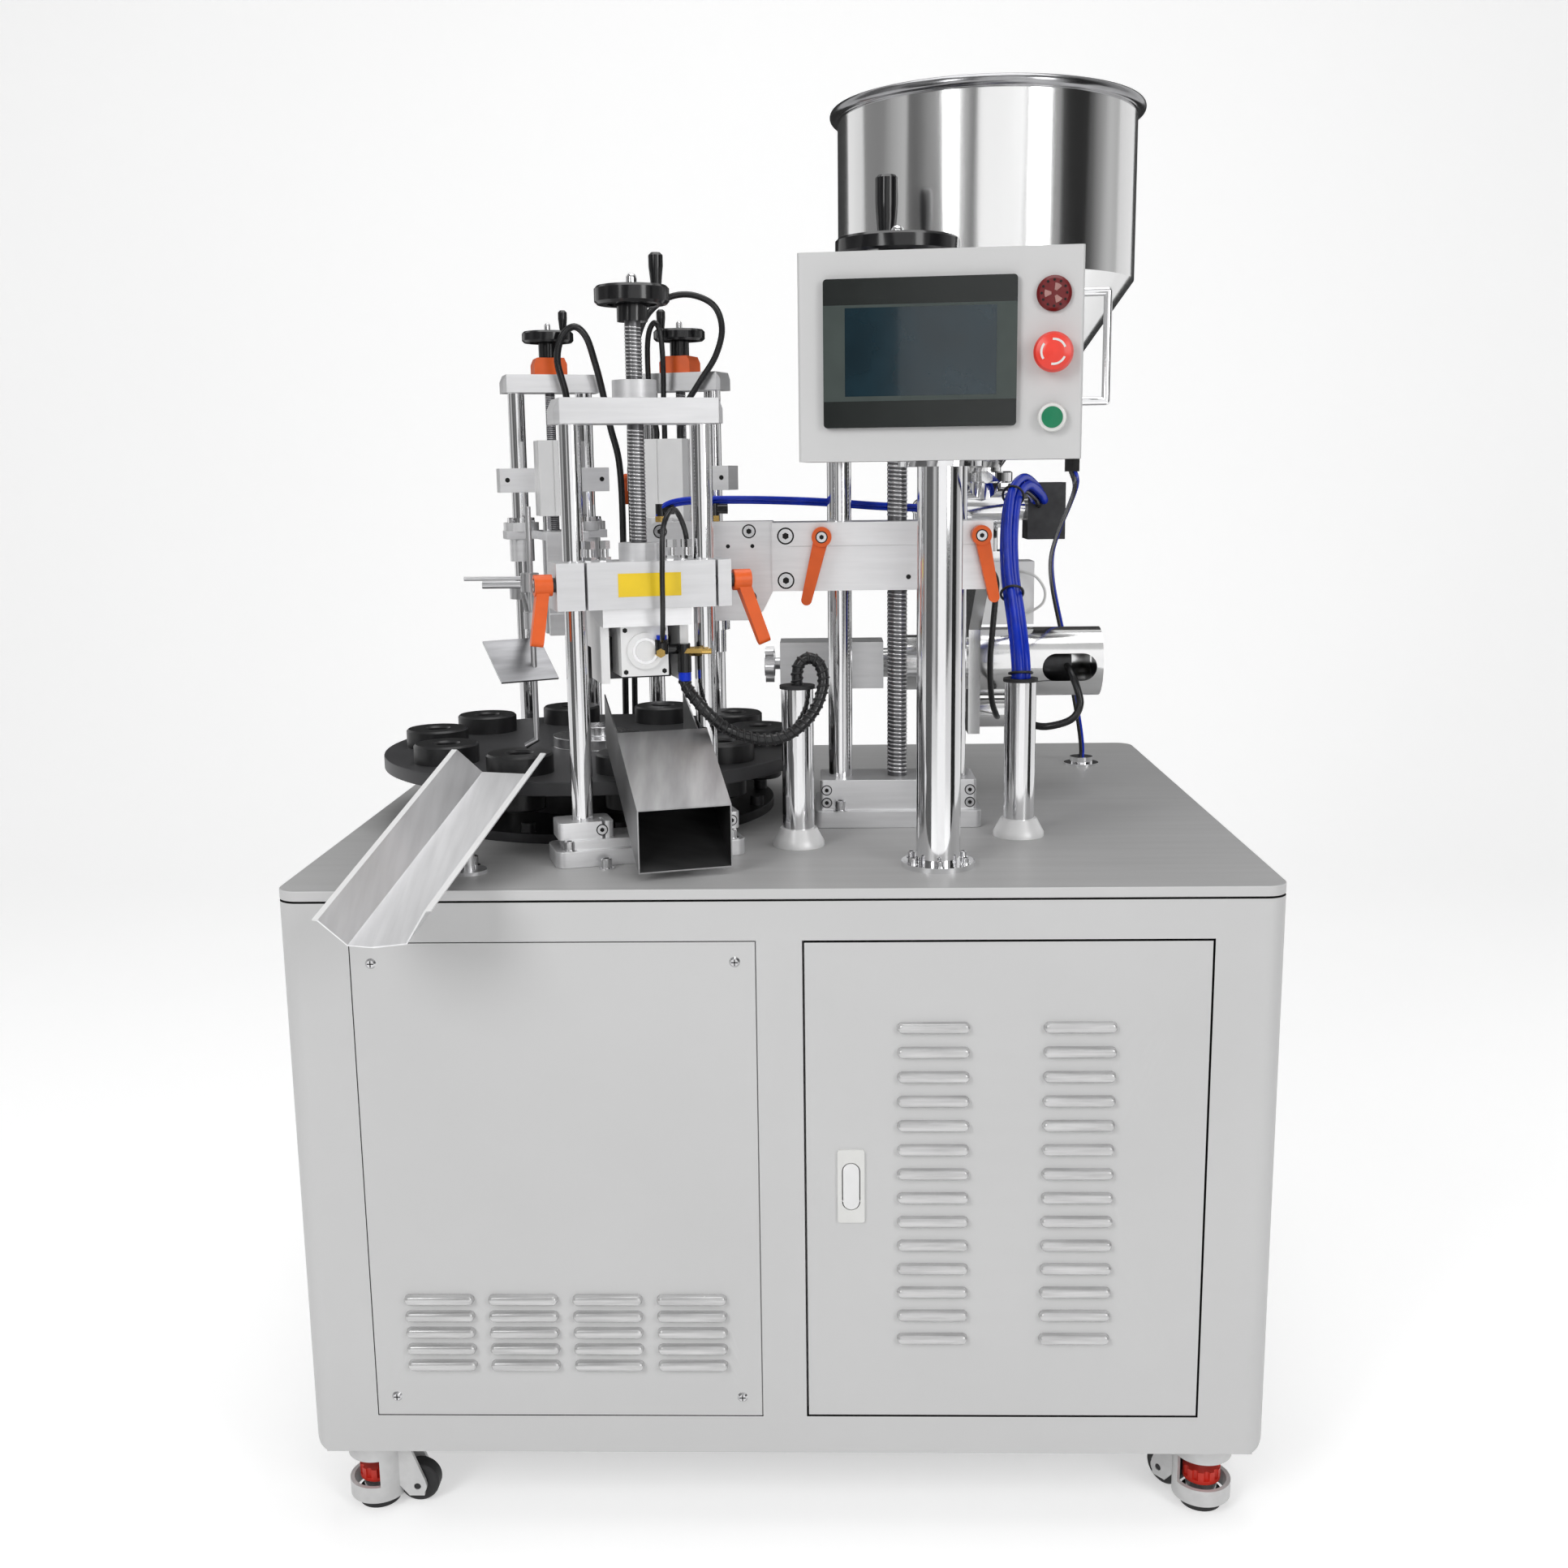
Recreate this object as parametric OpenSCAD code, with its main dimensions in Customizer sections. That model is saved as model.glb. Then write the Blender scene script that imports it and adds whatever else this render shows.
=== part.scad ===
// Rotary tube filling machine: cabinet on levelling casters, indexing turntable with tube cups,
// tail cutting station, two rear stations, filling gantry with hopper, and an operator box.
// Millimetres, +Z up. X runs along the front, Y from front to back, Z = 0 is the floor.

/* [Cabinet] */
// Width of the cabinet and of its table top
cab_w = 1100; // [1060:10:1300]
// Depth of the cabinet and of its table top
cab_d = 950; // [900:10:1150]
// Height of the sheet metal body
cab_h = 657; // [620:1:800]
// Thickness of the table top
top_t = 12; // [8:1:20]
// Radius of the upright corners
corner_r = 25; // [15:1:40]
// Radius of the body's two lower front corners
foot_corner_r = 20; // [10:1:30]
// Sheet thickness of the body
wall = 2.5; // [2:0.5:4]
// Dark joint line between body and table top
shadow_gap = 2; // [1:0.5:4]
// Width of the two openings in the front
opening_w = 446; // [420:1:460]
// Height of the two openings in the front
opening_h = 567; // [520:1:580]
// Post between the two openings
mid_post = 50; // [45:1:70]
// Distance from the table top down to the openings
opening_drop = 58; // [45:1:70]
// Seam round the panel and the door
seam = 2.5; // [2.2:0.1:3]
// Depth of the folded door
door_depth = 20; // [18:1:24]
// Sheet thickness of the door
door_sheet = 2; // [1.5:0.5:2.5]

/* [Louvres] */
// Width of a louvre
louvre_w = 72; // [60:1:86]
// Height of a louvre
louvre_h = 11; // [10:1:16]
// How far a louvre stands out
louvre_out = 5; // [3:0.5:8]
// Columns of louvres in the panel
panel_cols = 4; // [2:1:4]
// Rows of louvres in the panel
panel_rows = 5; // [3:1:7]
// Rows of louvres in the door
door_rows = 14; // [8:1:16]

/* [Casters] */
// Height from the floor to the caster's mounting pad
caster_h = 89; // [85:1:100]
// Thickness of a mounting pad
pad_t = 8; // [6:1:12]
// Width of a mounting pad
pad_w = 92; // [86:1:100]
// Diameter of a caster wheel
wheel_d = 48; // [44:1:50]
// Width of a caster wheel
wheel_w = 22; // [18:1:26]
// Distance of the wheel axle from the swivel axis
trail = 50; // [49:1:54]
// Outer diameter of the caster's drum
drum_d = 68; // [64:1:72]
// Diameter of the levelling foot
foot_d = 48; // [44:1:49]
// Thickness of the levelling foot
foot_h = 14; // [10:1:18]

/* [Turntable] */
// Place of the turntable from the middle of the table
disc_x = -255; // [-260:1:-240]
// Place of the turntable behind the table's front edge
disc_y = 458; // [450:1:480]
// Radius of the disc
disc_r = 281; // [270:1:284]
// Thickness of the disc
disc_t = 17; // [12:1:20]
// Height of the disc's upper face above the table
disc_top = 85; // [80:1:100]
// Number of tube cups
cup_count = 10; // [6:1:10]
// Distance from the disc's edge to a cup's axis
cup_edge = 64; // [55:1:70]
// Diameter of a cup's collar
cup_d = 82; // [70:1:90]
// Height of a cup's collar above the disc
cup_h = 24; // [18:1:30]
// Diameter of the hole for the tube's cap
cup_bore = 30; // [20:1:44]
// Diameter of a cup below the disc
cup_low_d = 60; // [56:1:64]
// Depth of a cup below the disc's upper face
cup_low_h = 46; // [40:1:50]
// Diameter of the turntable shaft
shaft_d = 50; // [40:1:60]

/* [Cutting station] */
// Direction of the station from the turntable's axis
cut_angle = -72; // [-76:1:-68]
// Distance from the disc's edge to the stations' post line
post_line = 32; // [30:1:40]
// Diameter of the posts
cut_post_d = 25; // [20:1:28]
// Distance between the posts
cut_pitch = 150; // [146:1:156]
// Width of the base plate
cut_base_w = 224; // [215:1:235]
// Depth of the base plate
cut_base_d = 70; // [64:1:74]
// Thickness of the base plate
cut_base_t = 19; // [15:1:24]
// Underside of the top plate above the table
cut_top_z = 496; // [490:1:520]
// Thickness of the top plate
cut_top_t = 28; // [22:1:34]
// Width of the head block
cut_block_w = 200; // [196:1:214]
// Depth of the head block
cut_block_d = 62; // [56:1:66]
// Height of the head block
cut_block_h = 53; // [48:1:60]
// Underside of the head block above the table
cut_block_z = 292; // [290:1:300]
// Diameter of the height screw
cut_screw_d = 18; // [14:1:22]
// Height of the handwheel above the table
cut_wheel_z = 625; // [620:1:640]
// Diameter of the handwheel
cut_wheel_d = 83; // [75:1:100]
// Width of the scrap chute
scrap_w = 104; // [100:1:106]

/* [Rear stations] */
// Direction of the left rear station
left_angle = 108; // [106:1:110]
// Direction of the right rear station
right_angle = 72; // [70:1:74]
// Diameter of the rear posts
rear_post_d = 24; // [20:1:26]
// Distance between the rear posts
rear_pitch = 100; // [96:1:104]
// Underside of the rear top plates above the table
rear_top_z = 561; // [558:1:580]
// Thickness of the rear top plates
rear_top_t = 26; // [20:1:30]
// Underside of the rear cross bars above the table
rear_bar_z = 418; // [410:1:425]
// Height of the rear cross bars
rear_bar_h = 35; // [30:1:38]
// Diameter of the rear screws
rear_screw_d = 14; // [12:1:16]
// Diameter of the rear handwheels
rear_wheel_d = 75; // [65:1:85]

/* [Filling gantry] */
// Place of the gantry's screw from the middle of the table
fill_x = 143; // [140:1:150]
// Place of the gantry's post line behind the table's front edge
fill_y = 350; // [345:1:356]
// Diameter of the gantry's posts
fill_post_d = 30; // [26:1:32]
// Distance between the gantry's posts
fill_pitch = 144; // [140:1:150]
// Diameter of the gantry's screw
fill_screw_d = 24; // [20:1:26]
// Underside of the crosshead above the table
cross_z = 298; // [294:1:304]
// Height of the crosshead
cross_h = 83; // [78:1:88]
// Depth of the crosshead
cross_d = 80; // [74:1:84]
// Underside of the gantry's top plate above the table
fill_top_z = 640; // [630:1:660]
// Diameter of the gantry's handwheel
fill_wheel_d = 150; // [130:1:154]
// Diameter of the filling nozzle
nozzle_d = 16; // [10:1:22]
// Place of the hopper's axis from the middle of the table
hopper_x = 275; // [268:1:282]
// Place of the hopper's axis behind the table's front edge
hopper_y = 630; // [626:1:640]
// Outer diameter of the hopper
hopper_d = 402; // [360:1:410]
// Height of the hopper's straight wall
hopper_wall_h = 228; // [180:1:260]
// Height of the hopper's cone
hopper_cone_h = 246; // [220:1:270]
// Sheet thickness of the hopper
hopper_t = 2; // [1.5:0.5:3]
// Outer diameter of the hopper's outlet
outlet_d = 51; // [46:1:54]

/* [Operator box] */
// Place of the column from the middle of the table
column_x = 179; // [175:1:185]
// Place of the column behind the table's front edge
column_y = 103; // [100:1:106]
// Diameter of the column
column_d = 50; // [44:1:56]
// Height of the column's upper flange above the table
column_h = 451; // [440:1:470]
// Width of the operator box
box_w = 298; // [290:1:310]
// Depth of the operator box
box_d = 90; // [80:1:100]
// Height of the operator box
box_h = 215; // [210:1:230]
// Turn of the operator box on its column
box_turn = -6.6; // [-10:0.1:0]

/* [Chutes and pipes] */
// How far the discharge chute reaches in front of the table
chute_out = 112; // [100:1:125]
// Sheet thickness of the chutes
chute_t = 1.5; // [1:0.25:2.5]
// Outer diameter of the conduit pipes
pipe_d = 38; // [34:1:42]
// Height of the conduit pipes above the table
pipe_h = 190; // [185:1:195]

/* [Hidden] */
$fn = 48;
body_grey = [0.81, 0.81, 0.81];
alloy = [0.80, 0.80, 0.80];
steel = [0.72, 0.73, 0.74];
black = [0.10, 0.10, 0.11];
orange = [0.94, 0.40, 0.12];
blue = [0.05, 0.22, 0.85];
white = [0.93, 0.93, 0.93];
red = [0.90, 0.22, 0.18];

// Clearances
run_gap = 0.1;
slide_gap = 0.15;
seat_gap = 0.3;

// Levels and places that follow from the sizes above
body_z = caster_h + pad_t;
table_z = body_z + cab_h + shadow_gap + top_t;
front_y = (chute_out - cab_d) / 2;
opening_x = (mid_post + opening_w) / 2;
opening_top = table_z - opening_drop;
opening_mid = opening_top - opening_h / 2;
caster_x = cab_w / 2 - pad_w / 2 - 12;
caster_y = cab_d / 2 - pad_w / 2 - 12;
disc_bottom = disc_top - disc_t;
cup_circle = disc_r - cup_edge;
station_r = disc_r + post_line;
flange_r = cup_circle + 19;
hinge_in = 16;
hinge_back = 8;
hinge_zs = [-opening_h * 0.38, 0, opening_h * 0.38];
caster_turns = [0, 130, 20, 200];
cut_riser_t = 11;
cut_clamp_h = 20;
cut_posts_z = cut_base_t;
cut_block_top = cut_block_z + cut_block_h;
rear_base_t = 20;
rear_riser_h = 25;
rear_top = rear_top_z + rear_top_t;
counter_h = 24;
fill_plate_t = 22;
fill_block_h = 38;
fill_base_h = fill_plate_t + fill_block_h;
cross_top = cross_z + cross_h;
cross_front = fill_y - cross_d / 2 - 5;
cross_back = cross_front + cross_d;
fill_top_t = 28;
pump_z = 180;
pump_y = 560;
valve_z = 390;
outlet_z = valve_z + 41;
nozzle_x = disc_x + cup_circle * cos(36);
nozzle_y = disc_y - cup_circle * sin(36);
box_z = column_h + seat_gap;
spigot_d = 30;

// Rounded rectangle about the origin
module rounded(w, d, r) {
  square([w - 2 * r, d], center = true);
  square([w, d - 2 * r], center = true);
  for (x = [-1, 1], y = [-1, 1])
    translate([x * (w / 2 - r), y * (d / 2 - r)])
      circle(r);
}

// Box given by its low and high corners
module span(low, high) {
  translate(low)
    cube(high - low);
}

// Upright round bar from its lower end
module rod(p, d, h) {
  translate(p)
    cylinder(d = d, h = h);
}

// Round bar along +X from its left end
module rod_x(p, d, h) {
  translate(p)
    rotate([0, 90, 0])
      cylinder(d = d, h = h);
}

// Outline drawn in X and Z, made solid from y0 to y1
module slab(y0, y1) {
  translate([0, y1, 0])
    rotate([90, 0, 0])
      linear_extrude(y1 - y0)
        children();
}

// Outline drawn in Y and Z, made solid from x0 to x1
module side_slab(x0, x1) {
  translate([x0, 0, 0])
    rotate([90, 0, 90])
      linear_extrude(x1 - x0)
        children();
}

// Places children on the table: X from its middle, Y from its front edge, Z from its upper face
module on_table() {
  translate([0, front_y, table_z])
    children();
}

// Places children at a station: origin on the turntable's axis, -Y pointing outwards
module at_station(angle) {
  on_table()
    translate([disc_x, disc_y, 0])
      rotate(angle + 90)
        children();
}

// Places children at one of the four casters, turned about its swivel axis
module at_caster(i) {
  translate([(i % 2 == 0 ? -1 : 1) * caster_x, (i < 2 ? -1 : 1) * caster_y + front_y + cab_d / 2, 0])
    rotate(caster_turns[i])
      children();
}

// Places children on the operator box: X across its front, Y inwards, Z from its underside
module on_box() {
  on_table()
    translate([column_x, column_y, box_z])
      rotate(box_turn)
        children();
}

// Swept tube with flat ends along hand-chosen points
function unit(v) = v / norm(v);
function tangent(p, i) = unit(p[min(i + 1, len(p) - 1)] - p[max(i - 1, 0)]);
function side_of(t) = unit(cross(t, abs(t[2]) < 0.9 ? [0, 0, 1] : [1, 0, 0]));
function carried(p, i) = i == 0 ? side_of(tangent(p, 0)) :
  let (t = tangent(p, i), s = carried(p, i - 1)) unit(s - t * (s * t));
function ring(p, i, r, n) = let (t = tangent(p, i), s = carried(p, i), b = cross(t, s))
  [for (k = [0 : n - 1]) p[i] + r * (cos(360 * k / n) * s + sin(360 * k / n) * b)];
module hose(p, d) {
  sides = 8;
  last = len(p) - 1;
  rings = [for (i = [0 : last]) each ring(p, i, d / 2, sides)];
  walls = [for (i = [0 : last - 1], k = [0 : sides - 1])
    let (a = i * sides + k, b = i * sides + (k + 1) % sides) [a, a + sides, b + sides, b]];
  start = [for (k = [0 : sides - 1]) k];
  end = [for (k = [sides - 1 : -1 : 0]) last * sides + k];
  polyhedron(rings, concat(walls, [start, end]), convexity = 6);
}

// Outline of the body seen from the front, its two lower corners rounded
module body_front() {
  r = foot_corner_r;
  translate([-cab_w / 2, body_z + r])
    square([cab_w, cab_h - r]);
  translate([r - cab_w / 2, body_z])
    square([cab_w - 2 * r, r + 1]);
  for (x = [-1, 1])
    translate([x * (cab_w / 2 - r), body_z + r])
      circle(r);
}

module cabinet_shell() {
  floor_t = 3;
  flange = 40;
  lip = 18;
  left_x = -opening_x;
  door_left = opening_x - opening_w / 2;
  door_right = opening_x + opening_w / 2;
  strike = 20;
  low = opening_mid - opening_h / 2;
  shell_top = body_z + cab_h;
  color(body_grey) translate([0, front_y, 0]) {
    difference() {
      intersection() {
        translate([0, cab_d / 2, body_z])
          linear_extrude(cab_h)
            rounded(cab_w, cab_d, corner_r);
        slab(0, cab_d)
          body_front();
      }
      translate([0, cab_d / 2, body_z + floor_t])
        linear_extrude(cab_h - 2 * floor_t)
          rounded(cab_w - 2 * wall, cab_d - 2 * wall, corner_r - wall);
      translate([0, cab_d / 2, shell_top - floor_t - 1])
        linear_extrude(floor_t + 2)
          square([cab_w - 2 * flange, cab_d - 2 * flange], center = true);
      for (x = [left_x, opening_x])
        span([x - opening_w / 2, -1, low], [x + opening_w / 2, wall + 1, opening_top]);
    }
    // Spacer that leaves the joint line below the table top
    translate([0, cab_d / 2, shell_top])
      linear_extrude(shadow_gap)
        difference() {
          rounded(cab_w - 12, cab_d - 12, corner_r - 6);
          square([cab_w - 2 * flange, cab_d - 2 * flange], center = true);
        }
    // Frame behind the panel
    slab(wall, 2 * wall)
      translate([left_x, opening_mid])
        difference() {
          square([opening_w + 2 * lip, opening_h + 2 * lip], center = true);
          square([opening_w - 2 * lip, opening_h - 2 * lip], center = true);
        }
    // Returned edges of the door opening and the strike on the latch side
    span([door_left - wall, wall, low], [door_left, door_depth + wall + 1, opening_top]);
    span([door_left - wall, door_depth + 1, low], [door_left + strike, door_depth + wall + 1, opening_top]);
    span([door_right, wall, low], [door_right + wall, 2 * door_depth, opening_top]);
    for (z = [low - wall, opening_top])
      span([door_left - wall, wall, z], [door_right + wall, door_depth + wall + 1, z + wall]);
    // Pads for the casters
    for (x = [-1, 1], y = [-1, 1])
      translate([x * caster_x, cab_d / 2 + y * caster_y, caster_h + pad_t / 2])
        cube([pad_w, pad_w, pad_t], center = true);
  }
}

module table_top() {
  hole_d = pipe_d - 10;
  color(body_grey) on_table()
    difference() {
      translate([0, cab_d / 2, -top_t])
        linear_extrude(top_t)
          rounded(cab_w, cab_d, corner_r);
      rod([disc_x, disc_y, -top_t - 1], shaft_d + 10, top_t + 2);
      for (p = pipe_places)
        rod([p[0], p[1], -top_t - 1], hole_d, top_t + 2);
    }
}

// One pressed louvre, middle of its upper edge at the origin, opening downwards
module louvre() {
  skin = 1.2;
  side_slab(-louvre_w / 2, louvre_w / 2)
    polygon([[0, 0], [-louvre_out, -louvre_h], [skin - louvre_out, -louvre_h], [0, -skin * 3]]);
  for (x = [-louvre_w / 2, louvre_w / 2 - skin])
    side_slab(x, x + skin)
      polygon([[0, 0], [-louvre_out, -louvre_h], [0, -louvre_h]]);
}

// Rows and columns of louvres: the openings that go through the sheet, or the hoods on it
module louvre_field(cols, rows, pitch_x, pitch_z, cut, sheet) {
  margin = 3;
  for (c = [0 : cols - 1], r = [0 : rows - 1])
    translate([(c - (cols - 1) / 2) * pitch_x, 0, -r * pitch_z])
      if (cut)
        span([margin - louvre_w / 2, -1, -louvre_h], [louvre_w / 2 - margin, sheet + 1, -margin - 1]);
      else
        louvre();
}

module front_panel() {
  pitch_x = louvre_w + 24;
  pitch_z = louvre_h + 9.3;
  field_z = opening_mid - opening_h / 2 + 50 + panel_rows * pitch_z;
  field_x = -opening_x;
  screw_in = 23;
  screw_x = opening_w / 2 - screw_in;
  screw_z = opening_h / 2 - screw_in;
  hole_d = 6;
  color(body_grey) translate([0, front_y, 0]) {
    difference() {
      slab(0, wall)
        translate([-opening_x, opening_mid])
          square([opening_w - seam, opening_h - seam], center = true);
      translate([field_x, 0, field_z])
        louvre_field(panel_cols, panel_rows, pitch_x, pitch_z, true, wall);
      for (x = [-1, 1], z = [-1, 1])
        translate([x * screw_x - opening_x, -1, opening_mid + z * screw_z])
          rotate([-90, 0, 0])
            cylinder(d = hole_d, h = wall + 2);
    }
    translate([field_x, 0, field_z])
      louvre_field(panel_cols, panel_rows, pitch_x, pitch_z, false, wall);
  }
}

// Door hinge axis, in plan
hinge_x = opening_x + opening_w / 2 - seam - hinge_in;
hinge_y = hinge_back;
knuckle_d = 10;
knuckle_h = 24;
pin_d = 5;

module door_hinges() {
  leaf = 3;
  reach = opening_x + opening_w / 2 - hinge_x;
  back = 2 * door_depth - hinge_y;
  color(steel) translate([hinge_x, front_y + hinge_y, opening_mid])
    for (z = hinge_zs)
      translate([0, 0, z]) {
        rod([0, 0, -knuckle_h / 2], knuckle_d, knuckle_h);
        rod([0, 0, -knuckle_h], pin_d, 2 * knuckle_h);
        span([-leaf / 2, 0, -knuckle_h / 2], [leaf / 2, back, knuckle_h / 2]);
        span([-leaf / 2, back - leaf, -knuckle_h / 2], [reach, back, knuckle_h / 2]);
      }
}

module front_door() {
  w = opening_w - 2 * seam;
  h = opening_h - 2 * seam;
  pitch_z = louvre_h + 17.4;
  column_pitch = louvre_w + 88;
  field_z = opening_mid + (door_rows - 1) * pitch_z / 2 + louvre_h / 2;
  notch = knuckle_h * 2 + 8;
  edge = opening_x + w / 2;
  color(body_grey) translate([0, front_y, 0]) {
    difference() {
      slab(0, door_depth)
        translate([opening_x, opening_mid])
          square([w, h], center = true);
      slab(door_sheet, door_depth + 1)
        translate([opening_x, opening_mid])
          square([w - 2 * door_sheet, h - 2 * door_sheet], center = true);
      translate([opening_x, 0, field_z])
        louvre_field(2, door_rows, column_pitch, pitch_z, true, door_sheet);
      for (z = hinge_zs)
        span([edge - door_sheet - 1, door_sheet, opening_mid + z - notch / 2],
          [edge + 1, door_depth + 1, opening_mid + z + notch / 2]);
      translate([latch_x, 0, latch_z])
        slab(-1, door_sheet + 1)
          square([latch_body_w, latch_body_h], center = true);
    }
    translate([opening_x, 0, field_z])
      louvre_field(2, door_rows, column_pitch, pitch_z, false, door_sheet);
    // Knuckles on the door, above and below each fixed one
    for (z = hinge_zs, s = [-1, 1])
      translate([hinge_x, hinge_y, opening_mid + z + s * (knuckle_h * 3 / 4 + seat_gap)])
        difference() {
          union() {
            cylinder(d = knuckle_d, h = knuckle_h / 2, center = true);
            translate([-2 * knuckle_d, door_sheet - hinge_y, -knuckle_h / 4])
              cube([2 * knuckle_d, knuckle_d / 4 + 1, knuckle_h / 2]);
          }
          cylinder(d = pin_d + 2 * run_gap, h = knuckle_h, center = true);
        }
  }
}

latch_body_w = 24;
latch_body_h = 80;
latch_x = opening_x - opening_w / 2 + 52;
latch_z = opening_mid - 0.3;
lever_w = 18;
lever_h = 54;
lever_t = 6;

module latch_case() {
  flange = 3;
  front_t = 3;
  depth = 18;
  room = 1.2;
  color(white) translate([latch_x, front_y, latch_z])
    difference() {
      union() {
        slab(-front_t, 0)
          rounded(latch_body_w + 2 * flange, latch_body_h + 2 * flange, 3);
        slab(-1, depth)
          square([latch_body_w - 2 * slide_gap, latch_body_h - 2 * slide_gap], center = true);
      }
      slab(-front_t - 1, depth - 3)
        rounded(lever_w + 2 * room, lever_h + 2 * room, lever_w / 2 + room - 0.01);
      for (x = [-1, 1])
        translate([x * (lever_w / 2 - 0.1), 0, lever_w / 2 - lever_h / 2])
          rotate([0, x * 90, 0])
            cylinder(d = 3 + 2 * run_gap, h = 4);
    }
}

module latch_lever() {
  pivot_z = lever_w / 2 - lever_h / 2;
  color(white) translate([latch_x, front_y, latch_z]) {
    slab(-lever_t / 2, lever_t / 2)
      rounded(lever_w, lever_h, lever_w / 2 - 0.01);
    translate([0, 0, pivot_z])
      rotate([0, 90, 0])
        cylinder(d = 3, h = lever_w + 5, center = true);
  }
}

module control_plate() {
  plate_w = 380;
  plate_h = 420;
  plate_t = 3;
  standoff = 25;
  mid_z = body_z + cab_h / 2;
  face_y = front_y + cab_d - wall - standoff - plate_t;
  boxes = [[-110, 120, 130, 90, 70], [60, 120, 120, 100, 90], [-120, -20, 45, 80, 70],
    [-60, -20, 45, 80, 70], [60, -20, 130, 110, 110], [0, -150, 300, 50, 45]];
  color(alloy) translate([opening_x, 0, mid_z]) {
    slab(face_y, face_y + plate_t)
      square([plate_w, plate_h], center = true);
    for (x = [-1, 1], z = [-1, 1])
      translate([x * (plate_w / 2 - 20), face_y + plate_t, z * (plate_h / 2 - 20)])
        rotate([-90, 0, 0])
          cylinder(d = 16, h = standoff);
    for (b = boxes)
      slab(face_y - b[4], face_y)
        translate([b[0], b[1]])
          square([b[2], b[3]], center = true);
  }
}

module index_drive() {
  box = 220;
  box_h1 = 180;
  motor_d = 120;
  motor_len = 230;
  color(alloy) on_table() translate([disc_x, disc_y, -top_t])
    difference() {
      union() {
        translate([-box / 2, -box / 2, -box_h1])
          cube([box, box, box_h1]);
        rod_x([box / 2 - 1, 0, -box_h1 * 0.6], motor_d - 20, 60);
        rod_x([box / 2 + 58, 0, -box_h1 * 0.6], motor_d, motor_len);
      }
      rod([0, 0, -box_h1 / 2], shaft_d + 2 * run_gap, box_h1);
    }
}

base_hub_d = 240;
base_hub_z = disc_bottom - 18;

module turntable_base() {
  flange_t = 12;
  bolts = 12;
  head_d = 18;
  head_h = 12;
  color(black) on_table() translate([disc_x, disc_y, 0])
    difference() {
      union() {
        cylinder(r = flange_r, h = flange_t, $fn = 96);
        cylinder(d = base_hub_d, h = base_hub_z);
        for (k = [0 : bolts - 1])
          rotate(360 / bolts * (k + 0.5))
            rod([flange_r - head_d * 0.7, 0, 0], head_d, flange_t + head_h);
      }
      rod([0, 0, -1], shaft_d + 2 * run_gap, base_hub_z + 2);
    }
}

module turntable_disc() {
  hub_d = 120;
  cap_h = 14;
  nut_h = 12;
  shaft_low = -top_t - 60;
  color(black) on_table() translate([disc_x, disc_y, 0]) {
    difference() {
      translate([0, 0, disc_bottom])
        cylinder(r = disc_r, h = disc_t, $fn = 128);
      for (k = [0 : cup_count - 1])
        rotate(360 / cup_count * k)
          rod([cup_circle, 0, disc_bottom - 1], cup_low_d + 2 * slide_gap, disc_t + 2);
    }
    rod([0, 0, base_hub_z + seat_gap], hub_d, disc_bottom - base_hub_z);
    rod([0, 0, shaft_low], shaft_d, disc_bottom - shaft_low);
    rod([0, 0, disc_top - 1], hub_d, cap_h + 1);
    rod([0, 0, disc_top], hub_d * 0.4, cap_h + nut_h);
  }
}

module tube_cups() {
  bevel = 2.5;
  wall_low = 6;
  r = cup_d / 2;
  b = cup_bore / 2;
  color(black) on_table() translate([disc_x, disc_y, disc_top])
    for (k = [0 : cup_count - 1])
      rotate(360 / cup_count * k)
        translate([cup_circle, 0, 0])
          rotate_extrude()
            polygon([[0, wall_low - cup_low_h], [b, wall_low - cup_low_h], [b, cup_h - bevel],
              [b + bevel, cup_h], [r - bevel, cup_h], [r, cup_h - bevel], [r, 0],
              [cup_low_d / 2, 0], [cup_low_d / 2, bevel - cup_low_h],
              [cup_low_d / 2 - bevel, -cup_low_h], [0, -cup_low_h]]);
}

// Two upright posts of one station
module post_pair(pitch, y, z0, z1, d) {
  for (x = [-1, 1])
    rod([x * pitch / 2, y, z0], d, z1 - z0);
}

// Bores that take a pair of posts
module post_bores(pitch, y, z0, z1, d, room) {
  post_pair(pitch, y, z0, z1, d + 2 * room);
}

post_seat = 18;

module guide_posts() {
  color(steel) {
    at_station(cut_angle)
      post_pair(cut_pitch, -station_r, cut_posts_z, cut_top_z + post_seat, cut_post_d);
    for (a = [left_angle, right_angle])
      at_station(a)
        post_pair(rear_pitch, -station_r, rear_base_t, rear_top_z + post_seat, rear_post_d);
    on_table()
      translate([fill_x, 0, 0])
        post_pair(fill_pitch, fill_y, fill_plate_t, fill_top_z + post_seat, fill_post_d);
  }
}

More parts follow.
